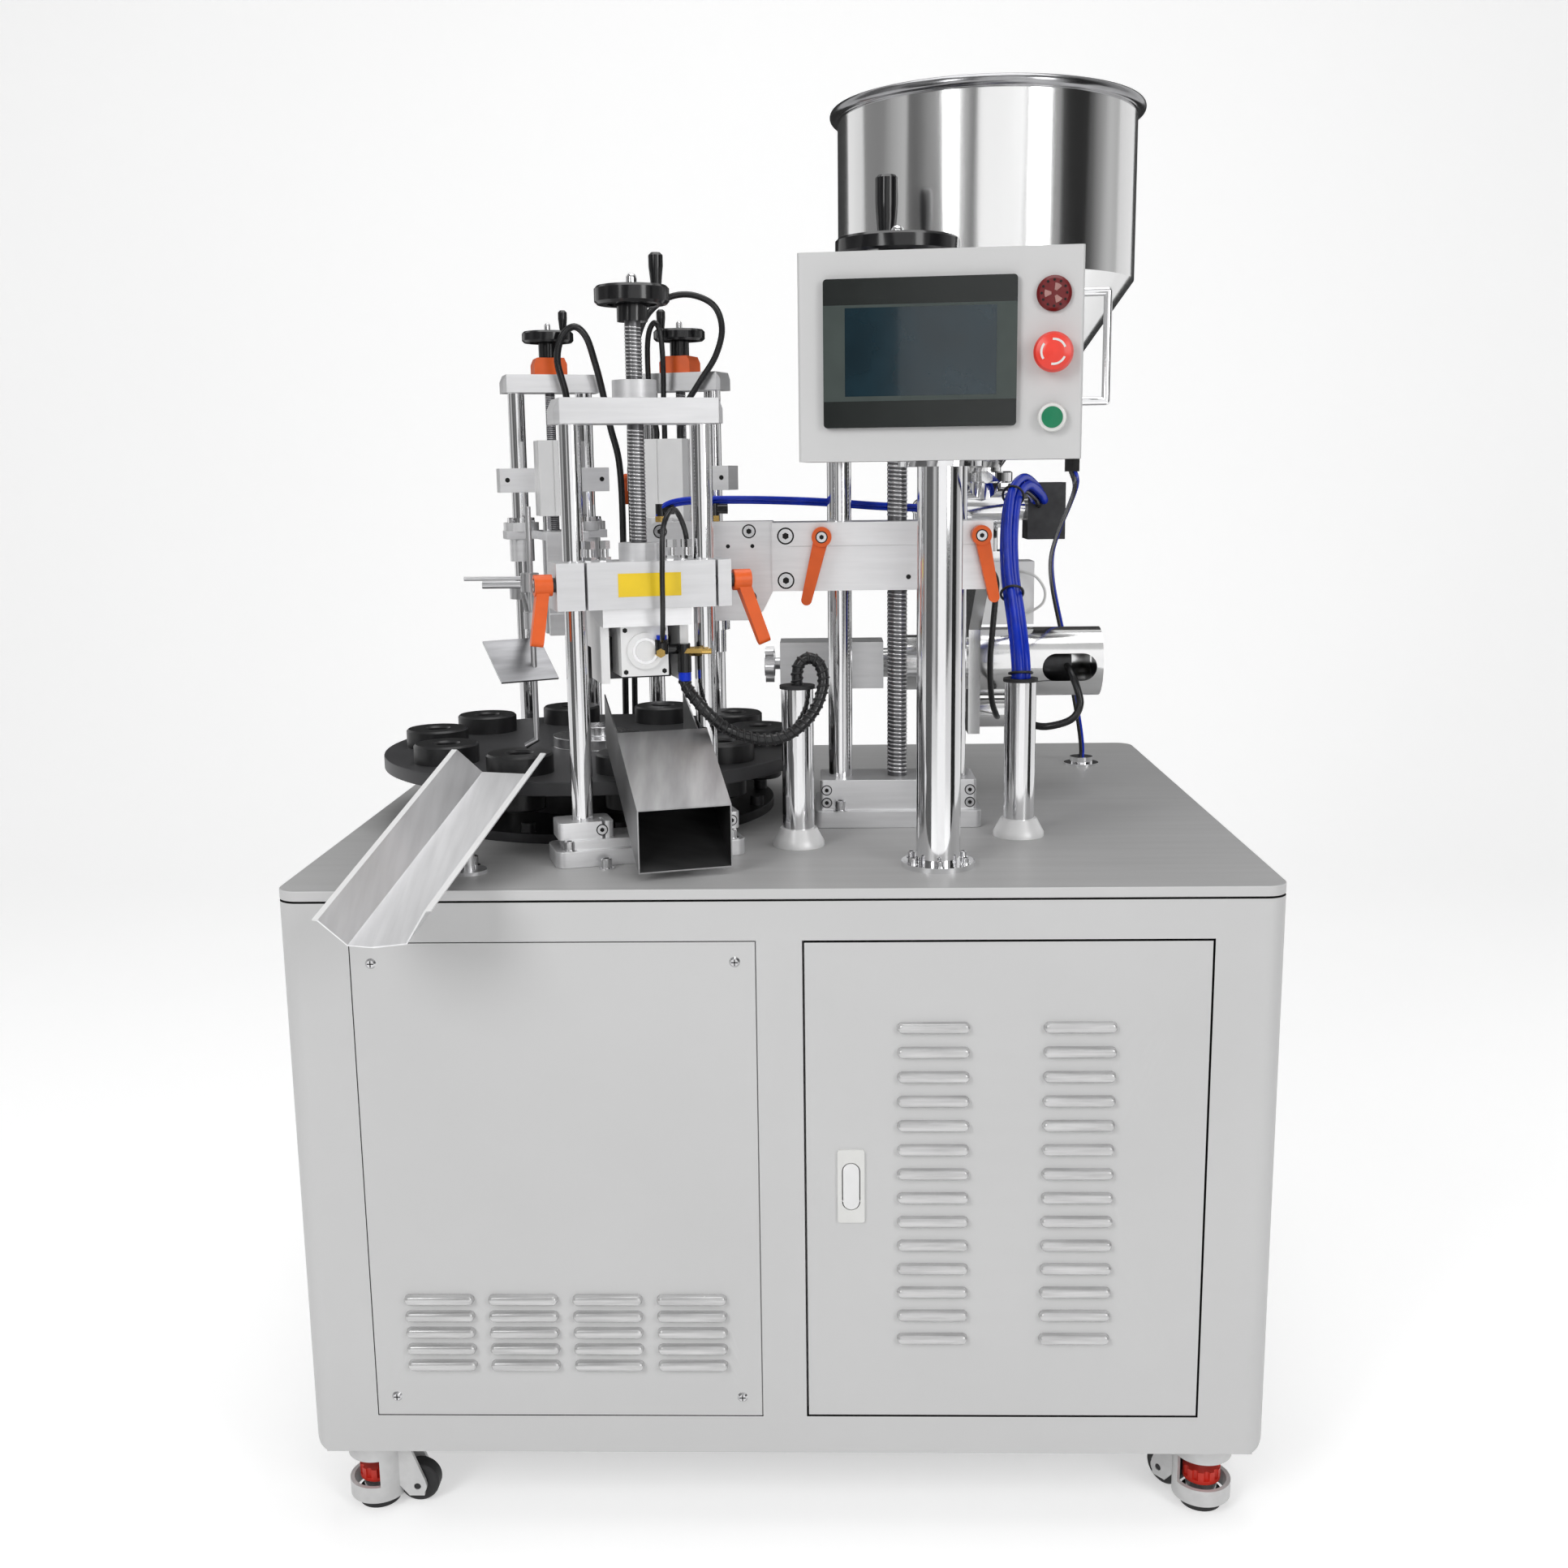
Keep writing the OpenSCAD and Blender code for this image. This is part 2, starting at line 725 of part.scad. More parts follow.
module station_bases() {
  plate_r = 12;
  riser_w = cut_base_w - 24;
  riser_d = cut_base_d - 14;
  clamp_w = 64;
  clamp_d = 46;
  slit = 3;
  rear_w = rear_pitch + 60;
  rear_d = 60;
  color(alloy) {
    at_station(cut_angle)
      translate([0, -station_r, 0])
        difference() {
          union() {
            linear_extrude(cut_base_t)
              rounded(cut_base_w, cut_base_d, plate_r);
            translate([0, 0, cut_base_t])
              linear_extrude(cut_riser_t)
                rounded(riser_w, riser_d, 8);
            for (x = [-1, 1])
              translate([x * cut_pitch / 2, 0, cut_base_t + cut_riser_t])
                linear_extrude(cut_clamp_h)
                  rounded(clamp_w, clamp_d, 6);
          }
          post_bores(cut_pitch, 0, cut_base_t, table_z, cut_post_d, run_gap);
          for (x = [-1, 1])
            translate([x * cut_pitch / 2 + cut_post_d / 2 + 6, -clamp_d, cut_base_t + cut_riser_t])
              cube([slit, clamp_d + 0.1, cut_clamp_h + 1]);
        }
    for (a = [left_angle, right_angle])
      at_station(a)
        translate([0, -station_r, 0])
          difference() {
            union() {
              linear_extrude(rear_base_t)
                rounded(rear_w, rear_d, plate_r);
              translate([0, 0, rear_base_t])
                linear_extrude(rear_riser_h)
                  rounded(rear_w - 20, rear_d - 14, 6);
            }
            post_bores(rear_pitch, 0, rear_base_t, table_z, rear_post_d, run_gap);
          }
  }
}

module filler_base() {
  plate_w = fill_pitch + 64;
  plate_d = 130;
  block_w = fill_pitch + 52;
  block_d = 80;
  bearing = 20;
  color(alloy) on_table() translate([fill_x, fill_y, 0])
    difference() {
      union() {
        translate([0, plate_d / 2 - 47, 0])
          linear_extrude(fill_plate_t)
            rounded(plate_w, plate_d, 8);
        translate([0, block_d / 2 - 38, fill_plate_t])
          linear_extrude(fill_block_h)
            rounded(block_w, block_d, 4);
      }
      post_bores(fill_pitch, 0, fill_plate_t, table_z, fill_post_d, run_gap);
      rod([0, 0, fill_base_h - bearing], fill_screw_d + 2 * run_gap, bearing + 1);
    }
}

// Bridge over a pair of posts: bevelled upper and upright edges, blind post seats, a screw bore
module bridge(w, d, t, bevel, pitch, post, screw, collar_d, collar_h) {
  difference() {
    union() {
      intersection() {
        slab(-d / 2, d / 2)
          polygon([[-w / 2, 0], [w / 2, 0], [w / 2, t - bevel], [w / 2 - bevel / 2, t],
            [bevel / 2 - w / 2, t], [-w / 2, t - bevel]]);
        linear_extrude(t)
          polygon([[bevel / 2 - w / 2, -d / 2], [w / 2 - bevel / 2, -d / 2], [w / 2, bevel / 2 - d / 2],
            [w / 2, d / 2 - bevel / 2], [w / 2 - bevel / 2, d / 2], [bevel / 2 - w / 2, d / 2],
            [-w / 2, d / 2 - bevel / 2], [-w / 2, bevel / 2 - d / 2]]);
      }
      rod([0, 0, t - 1], collar_d, collar_h + 1);
    }
    post_bores(pitch, 0, -1, post_seat + run_gap, post, run_gap);
    rod([0, 0, -1], screw + 2 * slide_gap, t + collar_h + 2);
  }
}

module top_plates() {
  color(alloy) {
    at_station(cut_angle)
      translate([0, -station_r, cut_top_z])
        bridge(cut_pitch + 41, 58, cut_top_t, 12, cut_pitch, cut_post_d, cut_screw_d, 50, 20);
    for (a = [left_angle, right_angle])
      at_station(a)
        translate([0, -station_r, rear_top_z])
          bridge(rear_pitch + 42, 50, rear_top_t, 10, rear_pitch, rear_post_d, rear_screw_d, 30, 0);
    on_table()
      translate([fill_x, fill_y, fill_top_z])
        bridge(fill_pitch + 56, 80, fill_top_t, 10, fill_pitch, fill_post_d, fill_screw_d, 60, 0);
  }
}

module height_counters() {
  w = 48;
  d = 42;
  bevel = 9;
  color(orange)
    for (a = [left_angle, right_angle])
      at_station(a)
        translate([0, -station_r, rear_top])
          difference() {
            slab(-d / 2, d / 2)
              polygon([[-w / 2, 0], [w / 2, 0], [w / 2, counter_h - bevel], [w / 2 - 4, counter_h],
                [4 - w / 2, counter_h], [-w / 2, counter_h - bevel]]);
            rod([0, 0, -1], rear_screw_d + 2 * slide_gap, counter_h + 2);
          }
}

// Duct that takes the cut tails forward, drawn with Y pointing away from the turntable
module scrap_chute() {
  t = chute_t;
  mid = 18;
  x0 = mid - scrap_w / 2;
  x1 = mid + scrap_w / 2;
  inner_x1 = cut_pitch / 2 - cut_post_d / 2 - 3;
  mouth_y = -station_r - 122;
  step_y = -station_r - cut_post_d / 2 - 3;
  inner_y = -station_r + 55;
  mouth = [10, 80];
  step = [84, 150];
  inner = [128, 186];
  rise = (step - mouth) / (step_y - mouth_y);
  inner_rise = (inner[0] - step[0]) / (inner_y - step_y);
  back = step_y - t;
  back_z = step - rise * t;
  foot_y = -station_r - cut_base_d / 2 + 4;
  foot_top = mouth[0] + (foot_y - mouth_y - t / 2) * rise[0] - t / 2;
  color(steel) at_station(cut_angle) {
    difference() {
      union() {
        side_slab(x0 - t, x1 + t)
          polygon([[mouth_y, mouth[0] - t], [step_y, step[0] - t], [step_y, step[1]], [mouth_y, mouth[1]]]);
        side_slab(x0 - t, inner_x1 + t)
          polygon([[back, step[0] - t], [step_y, step[0] - t], [inner_y, inner[0] - t],
            [inner_y, inner[1]], [step_y, step[1]], [back, step[1] - t]]);
      }
      // Room inside the front part, closed behind beside the post
      side_slab(x0, x1)
        polygon([[mouth_y - 1, mouth[0] - rise[0]], [back, back_z[0]], [back, back_z[1] - t],
          [mouth_y - 1, mouth[1] - t - rise[1]]]);
      // Room inside the inner part, open above
      side_slab(x0, inner_x1)
        polygon([[back - 1, back_z[0] - rise[0]], [step_y, step[0]], [inner_y + 1, inner[0] + inner_rise],
          [inner_y + 1, inner[1] + 20], [step_y, inner[1] + 20], [step_y, step[1] - t],
          [back - 1, back_z[1] - rise[1] - t]]);
    }
    // Foot on the base plate
    span([mid - 20, foot_y - t, cut_base_t], [mid + 20, foot_y, foot_top]);
  }
}

module hmi_column() {
  foot_d = 84;
  foot_t = 6;
  head_d = 92;
  spigot_h = 24;
  color(steel) on_table() translate([column_x, column_y, 0]) {
    cylinder(d = foot_d, h = foot_t);
    cylinder(d = column_d, h = column_h);
    rod([0, 0, column_h - foot_t], head_d, foot_t);
    rod([0, 0, column_h - 1], spigot_d, spigot_h + 1);
  }
}

left_pipe = [19, 212];
right_pipe = [288, 259];
table_outlet = [441, 754];
rear_outlet = [-255, 822];
pipe_places = [left_pipe, right_pipe, table_outlet, rear_outlet];
wrapped_d = 14;
bundle_d = 24;
air_d = 10;
outlet_h = 12;
twin = 7;

// Upright pipe with a conical foot and a grommet in its top, and low outlets in the table
module conduit_pipes() {
  bore = pipe_d - 4;
  cone_d = pipe_d + 24;
  cone_h = 22;
  ring_d = 52;
  plug_h = 12;
  lip = 4;
  color(steel) on_table() {
    for (p = [[left_pipe, wrapped_d], [right_pipe, bundle_d]])
      translate([p[0][0], p[0][1], 0])
        rotate_extrude()
          polygon([[bore / 2, 0], [cone_d / 2, 0], [cone_d / 2, 5], [pipe_d / 2 + 3, cone_h],
            [pipe_d / 2, cone_h], [pipe_d / 2, pipe_h], [pipe_d / 2 + 2, pipe_h],
            [pipe_d / 2 + 2, pipe_h + lip], [p[1] / 2 + slide_gap, pipe_h + lip],
            [p[1] / 2 + slide_gap, pipe_h - plug_h], [bore / 2, pipe_h - plug_h]]);
    for (p = [[table_outlet, [0]], [rear_outlet, [-twin, twin]]])
      translate([p[0][0], p[0][1], 0])
        difference() {
          union() {
            cylinder(d = ring_d, h = 3);
            cylinder(d = bore, h = outlet_h);
          }
          for (x = p[1])
            rod([x, 0, -1], air_d + 2 * slide_gap, outlet_h + 2);
        }
  }
}

// Discharge chute: from its lip in front of the table up to the turntable's edge
chute_low = [-412, -chute_out, -30];
chute_high = [-330, disc_y - disc_r + 12, disc_top + 10];
chute_run = chute_high - chute_low;
chute_len = norm(chute_run);
chute_turn = atan2(chute_run[1], chute_run[0]) - 90;
chute_rise = asin(chute_run[2] / chute_len);

module chute_section() {
  half = 54;
  side = 30;
  fold = 26;
  flare = 20;
  lip = 7;
  t = chute_t;
  // Flat floor between two sloping walls with lips
  polygon([[-half - lip, side], [-half, side], [fold - half, 0], [half - flare, 0], [half, side],
    [half + lip, side], [half + lip, side - t], [half + t, side - t], [half - flare + t / 2, -t],
    [fold - half - t / 2, -t], [-half - t, side - t], [-half - lip, side - t]]);
}

module discharge_chute() {
  stand = [-352, 82];
  rod_d = 12;
  flange_d = 40;
  low_z = chute_low[2];
  reach = (stand[1] - chute_low[1]) / chute_run[1];
  stand_z = low_z + chute_run[2] * reach;
  color(steel) on_table() {
    difference() {
      translate(chute_low)
        rotate([chute_rise, 0, chute_turn])
          rotate([90, 0, 0])
            translate([0, 0, -chute_len])
              linear_extrude(chute_len)
                chute_section();
      // Upright cut at the lip
      span([-cab_w / 2, -chute_out - 60, -120], [cab_w / 2, -chute_out, disc_top]);
    }
    // Stand that carries the chute
    difference() {
      translate([stand[0], stand[1], 0]) {
        cylinder(d = flange_d, h = 4);
        cylinder(d = rod_d, h = stand_z + 10);
      }
      translate(chute_low)
        rotate([chute_rise, 0, chute_turn])
          translate([-cab_w / 4, 0, -chute_t])
            cube([cab_w / 2, chute_len, disc_top]);
    }
  }
}

// Air tube and plate that tip a filled tube onto the discharge chute
module tube_deflector() {
  carrier = [disc_x + station_r * cos(left_angle) - rear_pitch / 2 * sin(left_angle),
    disc_y + station_r * sin(left_angle) + rear_pitch / 2 * cos(left_angle)];
  drop = [-300, disc_y - cup_circle * sin(72)];
  arm = drop - carrier;
  arm_z = 270;
  rod_d = 12;
  tube_d = 7;
  tube_top = 405;
  tip_z = disc_top + cup_h + 16;
  stop_z = 313;
  color(steel) on_table() {
    difference() {
      union() {
        rod([carrier[0], carrier[1], arm_z - 9], rear_post_d + 18, 18);
        translate([carrier[0], carrier[1], arm_z])
          rotate([0, 90, atan2(arm[1], arm[0])])
            cylinder(d = rod_d, h = norm(arm));
      }
      rod([carrier[0], carrier[1], arm_z - 10], rear_post_d + 2 * run_gap, 20);
    }
    rod([drop[0], drop[1], arm_z - 10], 20, 20);
    rod([drop[0], drop[1], tip_z], tube_d, tube_top - tip_z);
    translate([drop[0], drop[1], tip_z])
      sphere(d = tube_d);
    translate([drop[0], drop[1], tip_z])
      rotate([0, -120, 0])
        cylinder(d = tube_d, h = 16);
    translate([drop[0] + 4, drop[1], stop_z])
      rotate([0, -90, 0])
        cylinder(d = 9, h = 62);
    translate([drop[0], drop[1] - 9, stop_z + 8])
      rotate([0, -90, 0])
        cylinder(d = 5, h = 78);
    rod([drop[0], drop[1] - 6, stop_z - 8], 22, 22);
    translate([drop[0] - 16, drop[1], 222])
      rotate([-50, 0, 34])
        cube([74, 2.5, 70], center = true);
  }
}

// Thickness of a caster's top plate
caster_plate = 8;
// How far a levelling foot can rise into its housing
foot_rise = 8;

// Caster: the drum with its window, the arms and the plate that swivels under the pad
module caster(i) {
  drum_z = 12;
  play = seat_gap;
  arm_t = 5;
  arm_y = wheel_w / 2 + 1.5;
  axle_d = 8;
  axle_z = wheel_d / 2;
  bore = drum_d - 10;
  window_h = 34;
  stem_d = 14;
  boss_z = 60;
  color(white) at_caster(i) {
    difference() {
      union() {
        difference() {
          rod([0, 0, drum_z], drum_d, caster_h - drum_z - play);
          rod([0, 0, drum_z - 1], bore, caster_h - drum_z - caster_plate + 1);
        }
        for (s = [-1, 1])
          translate([0, s * (arm_y + arm_t / 2) + arm_t / 2, 0])
            rotate([90, 0, 0])
              linear_extrude(arm_t) {
                polygon([[drum_d * 0.42, 26], [trail - 10, 12], [trail + 8, 12], [trail + 10, 30],
                  [drum_d * 0.42 + 9, caster_h - play], [0, caster_h - play], [drum_d * 0.36, 60]]);
                translate([trail, axle_z])
                  circle(11);
              }
      }
      // Opening for the wheel and the window over the foot's ring
      rod([0, 0, -1], bore, caster_h - caster_plate + 1);
      translate([trail, 0, axle_z])
        rotate([90, 0, 0])
          cylinder(d = wheel_d + 6, h = wheel_w + 2, center = true);
      translate([-drum_d, -drum_d, 32])
        cube([drum_d * 1.15, drum_d * 2, window_h]);
      translate([trail, 0, axle_z])
        rotate([90, 0, 0])
          cylinder(d = axle_d + 2 * run_gap, h = drum_d, center = true);
    }
    // Boss that guides the foot's stem
    difference() {
      rod([0, 0, boss_z], stem_d + 10, caster_h - boss_z - play);
      rod([0, 0, boss_z - 1], stem_d + 2 * run_gap, caster_h - boss_z - 3);
    }
  }
}

module caster_wheel(i) {
  bevel = 3;
  r = wheel_d / 2;
  half = wheel_w / 2;
  color(black) at_caster(i) translate([trail, 0, r]) rotate([90, 0, 0]) {
    rotate_extrude()
      polygon([[0, -half], [r - bevel, -half], [r, bevel - half], [r, half - bevel], [r - bevel, half],
        [0, half]]);
    cylinder(d = 8, h = wheel_w + 12, center = true);
  }
}

// Levelling foot: rubber disc, toothed ring and the threaded stem above it
module caster_foot(i) {
  ring_z = 34;
  ring_h = 14;
  ring_d = 44;
  stem_d = 14;
  teeth = 10;
  stem_top = caster_h - caster_plate - foot_rise - 1;
  color(red) at_caster(i)
    difference() {
      union() {
        cylinder(d = foot_d, h = foot_h);
        cylinder(d = stem_d, h = stem_top);
        cylinder(d = ring_d - 8, h = ring_z);
        rod([0, 0, ring_z - 1], ring_d, ring_h + 1);
      }
      for (k = [0 : teeth - 1])
        rotate(360 / teeth * k)
          rod([ring_d / 2, 0, ring_z + 3], 7, ring_h);
    }
}

// Clamp lever: stud along +X from the origin, hub outside, cranked arm hanging down
module clamp_lever(stud_d, stud_in, arm_len, crank, lean) {
  hub_d = 24;
  hub_h = 20;
  bush_h = 4;
  color(orange) {
    rod_x([-stud_in, 0, 0], stud_d, stud_in + bush_h);
    rod_x([seat_gap, 0, 0], hub_d - 8, bush_h);
    rod_x([bush_h, 0, 0], hub_d, hub_h);
    translate([bush_h + hub_h / 2, 0, 0])
      rotate([lean, 0, 0])
        rotate([0, -crank, 0])
          rotate([0, 0, 90])
            slab(-hub_h * 0.35, hub_h * 0.35) {
              polygon([[-9, 0], [9, 0], [6.5, 6 - arm_len], [-6.5, 6 - arm_len]]);
              translate([0, 6 - arm_len])
                circle(6.5);
            }
  }
}

// Handwheel on its shaft: rim, dished web, hub, upright grip and cap nut; origin under the rim
module handwheel(d, rim, hub_d, hub_h, bore, grip_d, grip_h) {
  r = d / 2;
  web = rim * 0.35;
  color(black) {
    rotate_extrude($fn = 72)
      polygon([[0, -hub_h], [hub_d / 2, -hub_h], [hub_d / 2, 2], [r - rim * 0.7, rim * 0.3],
        [r - rim * 0.7, 0], [r - 3, 0], [r, 3], [r, rim - 3], [r - 3, rim], [r - rim * 0.6, rim],
        [r - rim * 0.7, rim * 0.3 + web], [hub_d / 2, rim * 0.7], [hub_d / 2, rim], [0, rim]]);
    translate([r - rim * 0.7, 0, rim - 1])
      rotate_extrude()
        polygon([[0, 0], [grip_d * 0.36, 0], [grip_d / 2, grip_h * 0.6], [grip_d / 2, grip_h - 3],
          [grip_d / 2 - 3, grip_h], [0, grip_h]]);
    cylinder(d = bore, h = rim + 8);
    translate([0, 0, rim + 8])
      sphere(d = bore);
  }
}

// Cutting head: block clamped on the two posts and hung from the screw
module cutter_block() {
  slit = 3;
  collar_d = 46;
  collar_h = 20;
  stud = 10;
  color(alloy) at_station(cut_angle)
    translate([0, -station_r, cut_block_z])
      difference() {
        union() {
          translate([-cut_block_w / 2, -cut_block_d / 2, 0])
            cube([cut_block_w, cut_block_d, cut_block_h]);
          rod([0, 0, cut_block_h - 1], collar_d, collar_h + 1);
        }
        post_bores(cut_pitch, 0, -1, cut_block_h + 1, cut_post_d, slide_gap);
        for (x = [-1, 1])
          translate([x * cut_pitch / 2 + 8 - slit / 2, -cut_block_d / 2 - 1, -1])
            cube([slit, cut_block_d / 2 + 1, cut_block_h + 2]);
        rod([0, 0, cut_block_h + collar_h - screw_hold], cut_screw_d + 2 * run_gap, screw_hold + 1);
        for (x = [-1, 1])
          translate([x * cut_block_w / 2, -cut_lever_out, cut_lever_z - cut_block_z])
            rotate([0, -x * 90, 0])
              rod([0, 0, -1], stud + 2 * run_gap, stud_len + 2);
      }
}

screw_hold = 44;
stud_len = 26;
cut_lever_out = 22;
cut_lever_z = cut_block_z + 29;
cyl_x0 = -25;
cyl_x1 = 30;
unit_x0 = -47;
unit_x1 = 56;
unit_plate_t = 21;
cyl_mid_z = cut_block_z - unit_plate_t - 29;
rod_d = 16;

module cutter_unit() {
  cheek = 10;
  plate_z = cut_block_z - unit_plate_t;
  inner = -cup_circle + 22;
  knife_y = -cup_circle - 28;
  front = -station_r - 5;
  cyl_back = -station_r + 51;
  low = cut_block_z - 87;
  color(alloy) at_station(cut_angle)
    difference() {
      union() {
        span([unit_x0, front - 12, plate_z], [unit_x1, inner, cut_block_z]);
        // Cheeks that guide the knife, cut away over the path of the tubes
        for (x = [unit_x0, unit_x1 - cheek])
          side_slab(x, x + cheek)
            polygon([[front + 8, plate_z], [front + 8, low], [knife_y, low],
              [knife_y, low + 36], [inner, low + 36], [inner, plate_z]]);
        // Anvil bar behind the tubes
        span([unit_x0, inner - 13, low - 5], [unit_x1, inner, plate_z]);
        // Compact cylinder with its end cap
        span([cyl_x0, front, cyl_mid_z - 29], [cyl_x1, cyl_back, plate_z]);
        translate([(cyl_x0 + cyl_x1) / 2, front, cyl_mid_z])
          rotate([90, 0, 0])
            cylinder(d = 42, h = 4);
        // Elbow that takes the air hose
        rod_x([cyl_x1 - 1, front + 6, cyl_mid_z], 12, 19);
        translate([cyl_x1 + 18, front + 6, cyl_mid_z])
          rotate([90, 0, 0])
            cylinder(d = 12, h = 10);
        rod([cyl_x1 + 18, front - 4, cyl_mid_z - 27], 14, 34);
      }
      translate([(cyl_x0 + cyl_x1) / 2, front + 14, cyl_mid_z])
        rotate([-90, 0, 0])
          cylinder(d = rod_d + 2 * run_gap, h = station_r);
    }
}

// Knife bar on the cylinder's rod, between the cheeks
module cutter_knife() {
  cheek = 10;
  low = cut_block_z - 88;
  back = -cup_circle - 19;
  bar = 22;
  rod_len = 34;
  color(steel) at_station(cut_angle) {
    span([unit_x0 + cheek + seat_gap, back - bar, low],
      [unit_x1 - cheek - seat_gap, back, cyl_mid_z + 10]);
    translate([(cyl_x0 + cyl_x1) / 2, back - bar - rod_len, cyl_mid_z])
      rotate([-90, 0, 0])
        cylinder(d = rod_d, h = rod_len + 1);
    // Ground edge
    translate([0, back, low])
      side_slab(unit_x0 + cheek + seat_gap, unit_x1 - cheek - seat_gap)
        polygon([[-1, 0], [5, 4], [-1, 10]]);
  }
}

module cutter_screw() {
  low = cut_block_top + 20 - screw_hold + seat_gap;
  at_station(cut_angle)
    translate([0, -station_r, 0]) {
      color(steel)
        rod([0, 0, low], cut_screw_d, cut_wheel_z - low);
      translate([0, 0, cut_wheel_z])
        rotate(-20)
          handwheel(cut_wheel_d, 20, 34, 18, 12, 16, 36);
    }
}

module cutter_lever_left() {
  at_station(cut_angle)
    translate([-cut_block_w / 2, -station_r - cut_lever_out, cut_lever_z])
      mirror([1, 0, 0])
        clamp_lever(10, stud_len, 68, 8, 0);
}

module cutter_lever_right() {
  at_station(cut_angle)
    translate([cut_block_w / 2, -station_r - cut_lever_out, cut_lever_z])
      clamp_lever(10, stud_len, 78, 20, 0);
}

// Rear heads: cross bar on the posts with a cylinder in front of it
rear_bar_d = 40;
rear_cyl_w = 60;
rear_cyl_d = 50;
rear_cyl_low = rear_bar_z - 34;
rear_cyl_high = rear_bar_z + 74;
press_z = rear_bar_z - 68;
press_t = 12;
press_rod_d = 12;
press_rod_x = 18;

module rear_bar() {
  w = rear_pitch + 62;
  front = rear_bar_d / 2 - station_r;
  difference() {
    union() {
      span([-w / 2, -station_r - rear_bar_d / 2, rear_bar_z], [w / 2, front, rear_bar_z + rear_bar_h]);
      span([-rear_cyl_w / 2, front, rear_cyl_low], [rear_cyl_w / 2, front + rear_cyl_d, rear_cyl_high]);
    }
    post_bores(rear_pitch, -station_r, rear_bar_z - 1, rear_bar_z + rear_bar_h + 1, rear_post_d, slide_gap);
    rod([0, -station_r, rear_bar_z - 1], rear_screw_d + 2 * slide_gap, rear_bar_h + 2);
    // Grooves down the cylinder's face
    for (x = [-0.5, 0.5])
      span([x * rear_cyl_w - 3, front + rear_cyl_d / 2 - 2, rear_cyl_low - 1],
        [x * rear_cyl_w + 3, front + rear_cyl_d / 2 + 2, rear_cyl_high + 1]);
    span([8, front + rear_cyl_d - 2, rear_cyl_low - 1], [10, front + rear_cyl_d + 1, rear_cyl_high + 1]);
  }
}

module left_head() {
  rod_y = rear_bar_d / 2 - station_r + rear_cyl_d / 2;
  color(alloy) at_station(left_angle)
    difference() {
      rear_bar();
      for (x = [-1, 1])
        rod([x * press_rod_x, rod_y, rear_cyl_low - 1], press_rod_d + 2 * run_gap, 60);
    }
}

// Press plate guided on the left rear posts, with its bushes, rods and the two jaws
module left_press() {
  w = rear_pitch + 50;
  rod_y = rear_bar_d / 2 - station_r + rear_cyl_d / 2;
  flange_d = 52;
  flange_h = 12;
  bush_d = 36;
  bush_h = 33;
  rod_len = 22 + 36;
  jaw_w = 60;
  jaw_t = 12;
  jaw_low = 215;
  inner = -cup_circle + 24;
  color(alloy) at_station(left_angle)
    difference() {
      union() {
        span([-w / 2, -station_r - 22, press_z], [w / 2, 22 - station_r, press_z + press_t]);
        span([-jaw_w / 2, -station_r, press_z], [jaw_w / 2, inner, press_z + press_t]);
        for (x = [-1, 1]) {
          rod([x * rear_pitch / 2, -station_r, press_z + press_t - 1], flange_d, flange_h + 1);
          rod([x * rear_pitch / 2, -station_r, press_z - bush_h], bush_d, bush_h + 1);
          rod([x * press_rod_x, rod_y, press_z], press_rod_d, press_t + rod_len);
        }
        for (y = [inner - jaw_t, -cup_circle - 24]) {
          span([-jaw_w / 2, y, jaw_low + 30], [jaw_w / 2, y + jaw_t, press_z + 1]);
          span([-jaw_w / 2, y - 2, jaw_low], [jaw_w / 2, y + jaw_t + 2, jaw_low + 31]);
        }
      }
      post_bores(rear_pitch, -station_r, press_z - bush_h - 1, rear_top_z, rear_post_d, slide_gap);
      rod([0, -station_r, press_z - 1], rear_screw_d + 4, press_t + 2);
    }
}

module right_head() {
  inner = -cup_circle + 22;
  front = rear_bar_d / 2 - station_r;
  tube_d = 32;
  color(alloy) at_station(right_angle) {
    rear_bar();
    span([-rear_cyl_w / 2, front, press_z + press_t], [rear_cyl_w / 2, front + rear_cyl_d, rear_cyl_low]);
    span([-rear_cyl_w / 2, front, press_z], [rear_cyl_w / 2, inner, press_z + press_t]);
    // Hot air tube with its collar
    rod([0, -cup_circle, press_z + press_t - 1], tube_d + 14, 20);
    rod([0, -cup_circle, press_z - 34], tube_d, 36);
    rod([0, -cup_circle, press_z - 124], tube_d - 8, 92);
  }
}

module rear_screw(angle, low, turn) {
  wheel_z = rear_top + counter_h + 22;
  at_station(angle)
    translate([0, -station_r, 0]) {
      color(steel)
        rod([0, 0, low], rear_screw_d, wheel_z - low);
      translate([0, 0, wheel_z])
        rotate(turn)
          handwheel(rear_wheel_d, 16, 28, 22 - seat_gap, 9, 13, 30);
    }
}

module left_screw() {
  rear_screw(left_angle, press_z - 40, 140);
}

module right_screw() {
  rear_screw(right_angle, rear_bar_z - 20, 20);
}

// Crosshead on the gantry with the arm that carries the nozzle
cross_x0 = fill_x - 155;
cross_x1 = fill_x + 115;
fill_lever_x = [fill_x - 94, fill_x + 99];
fill_lever_z = cross_top - 17;

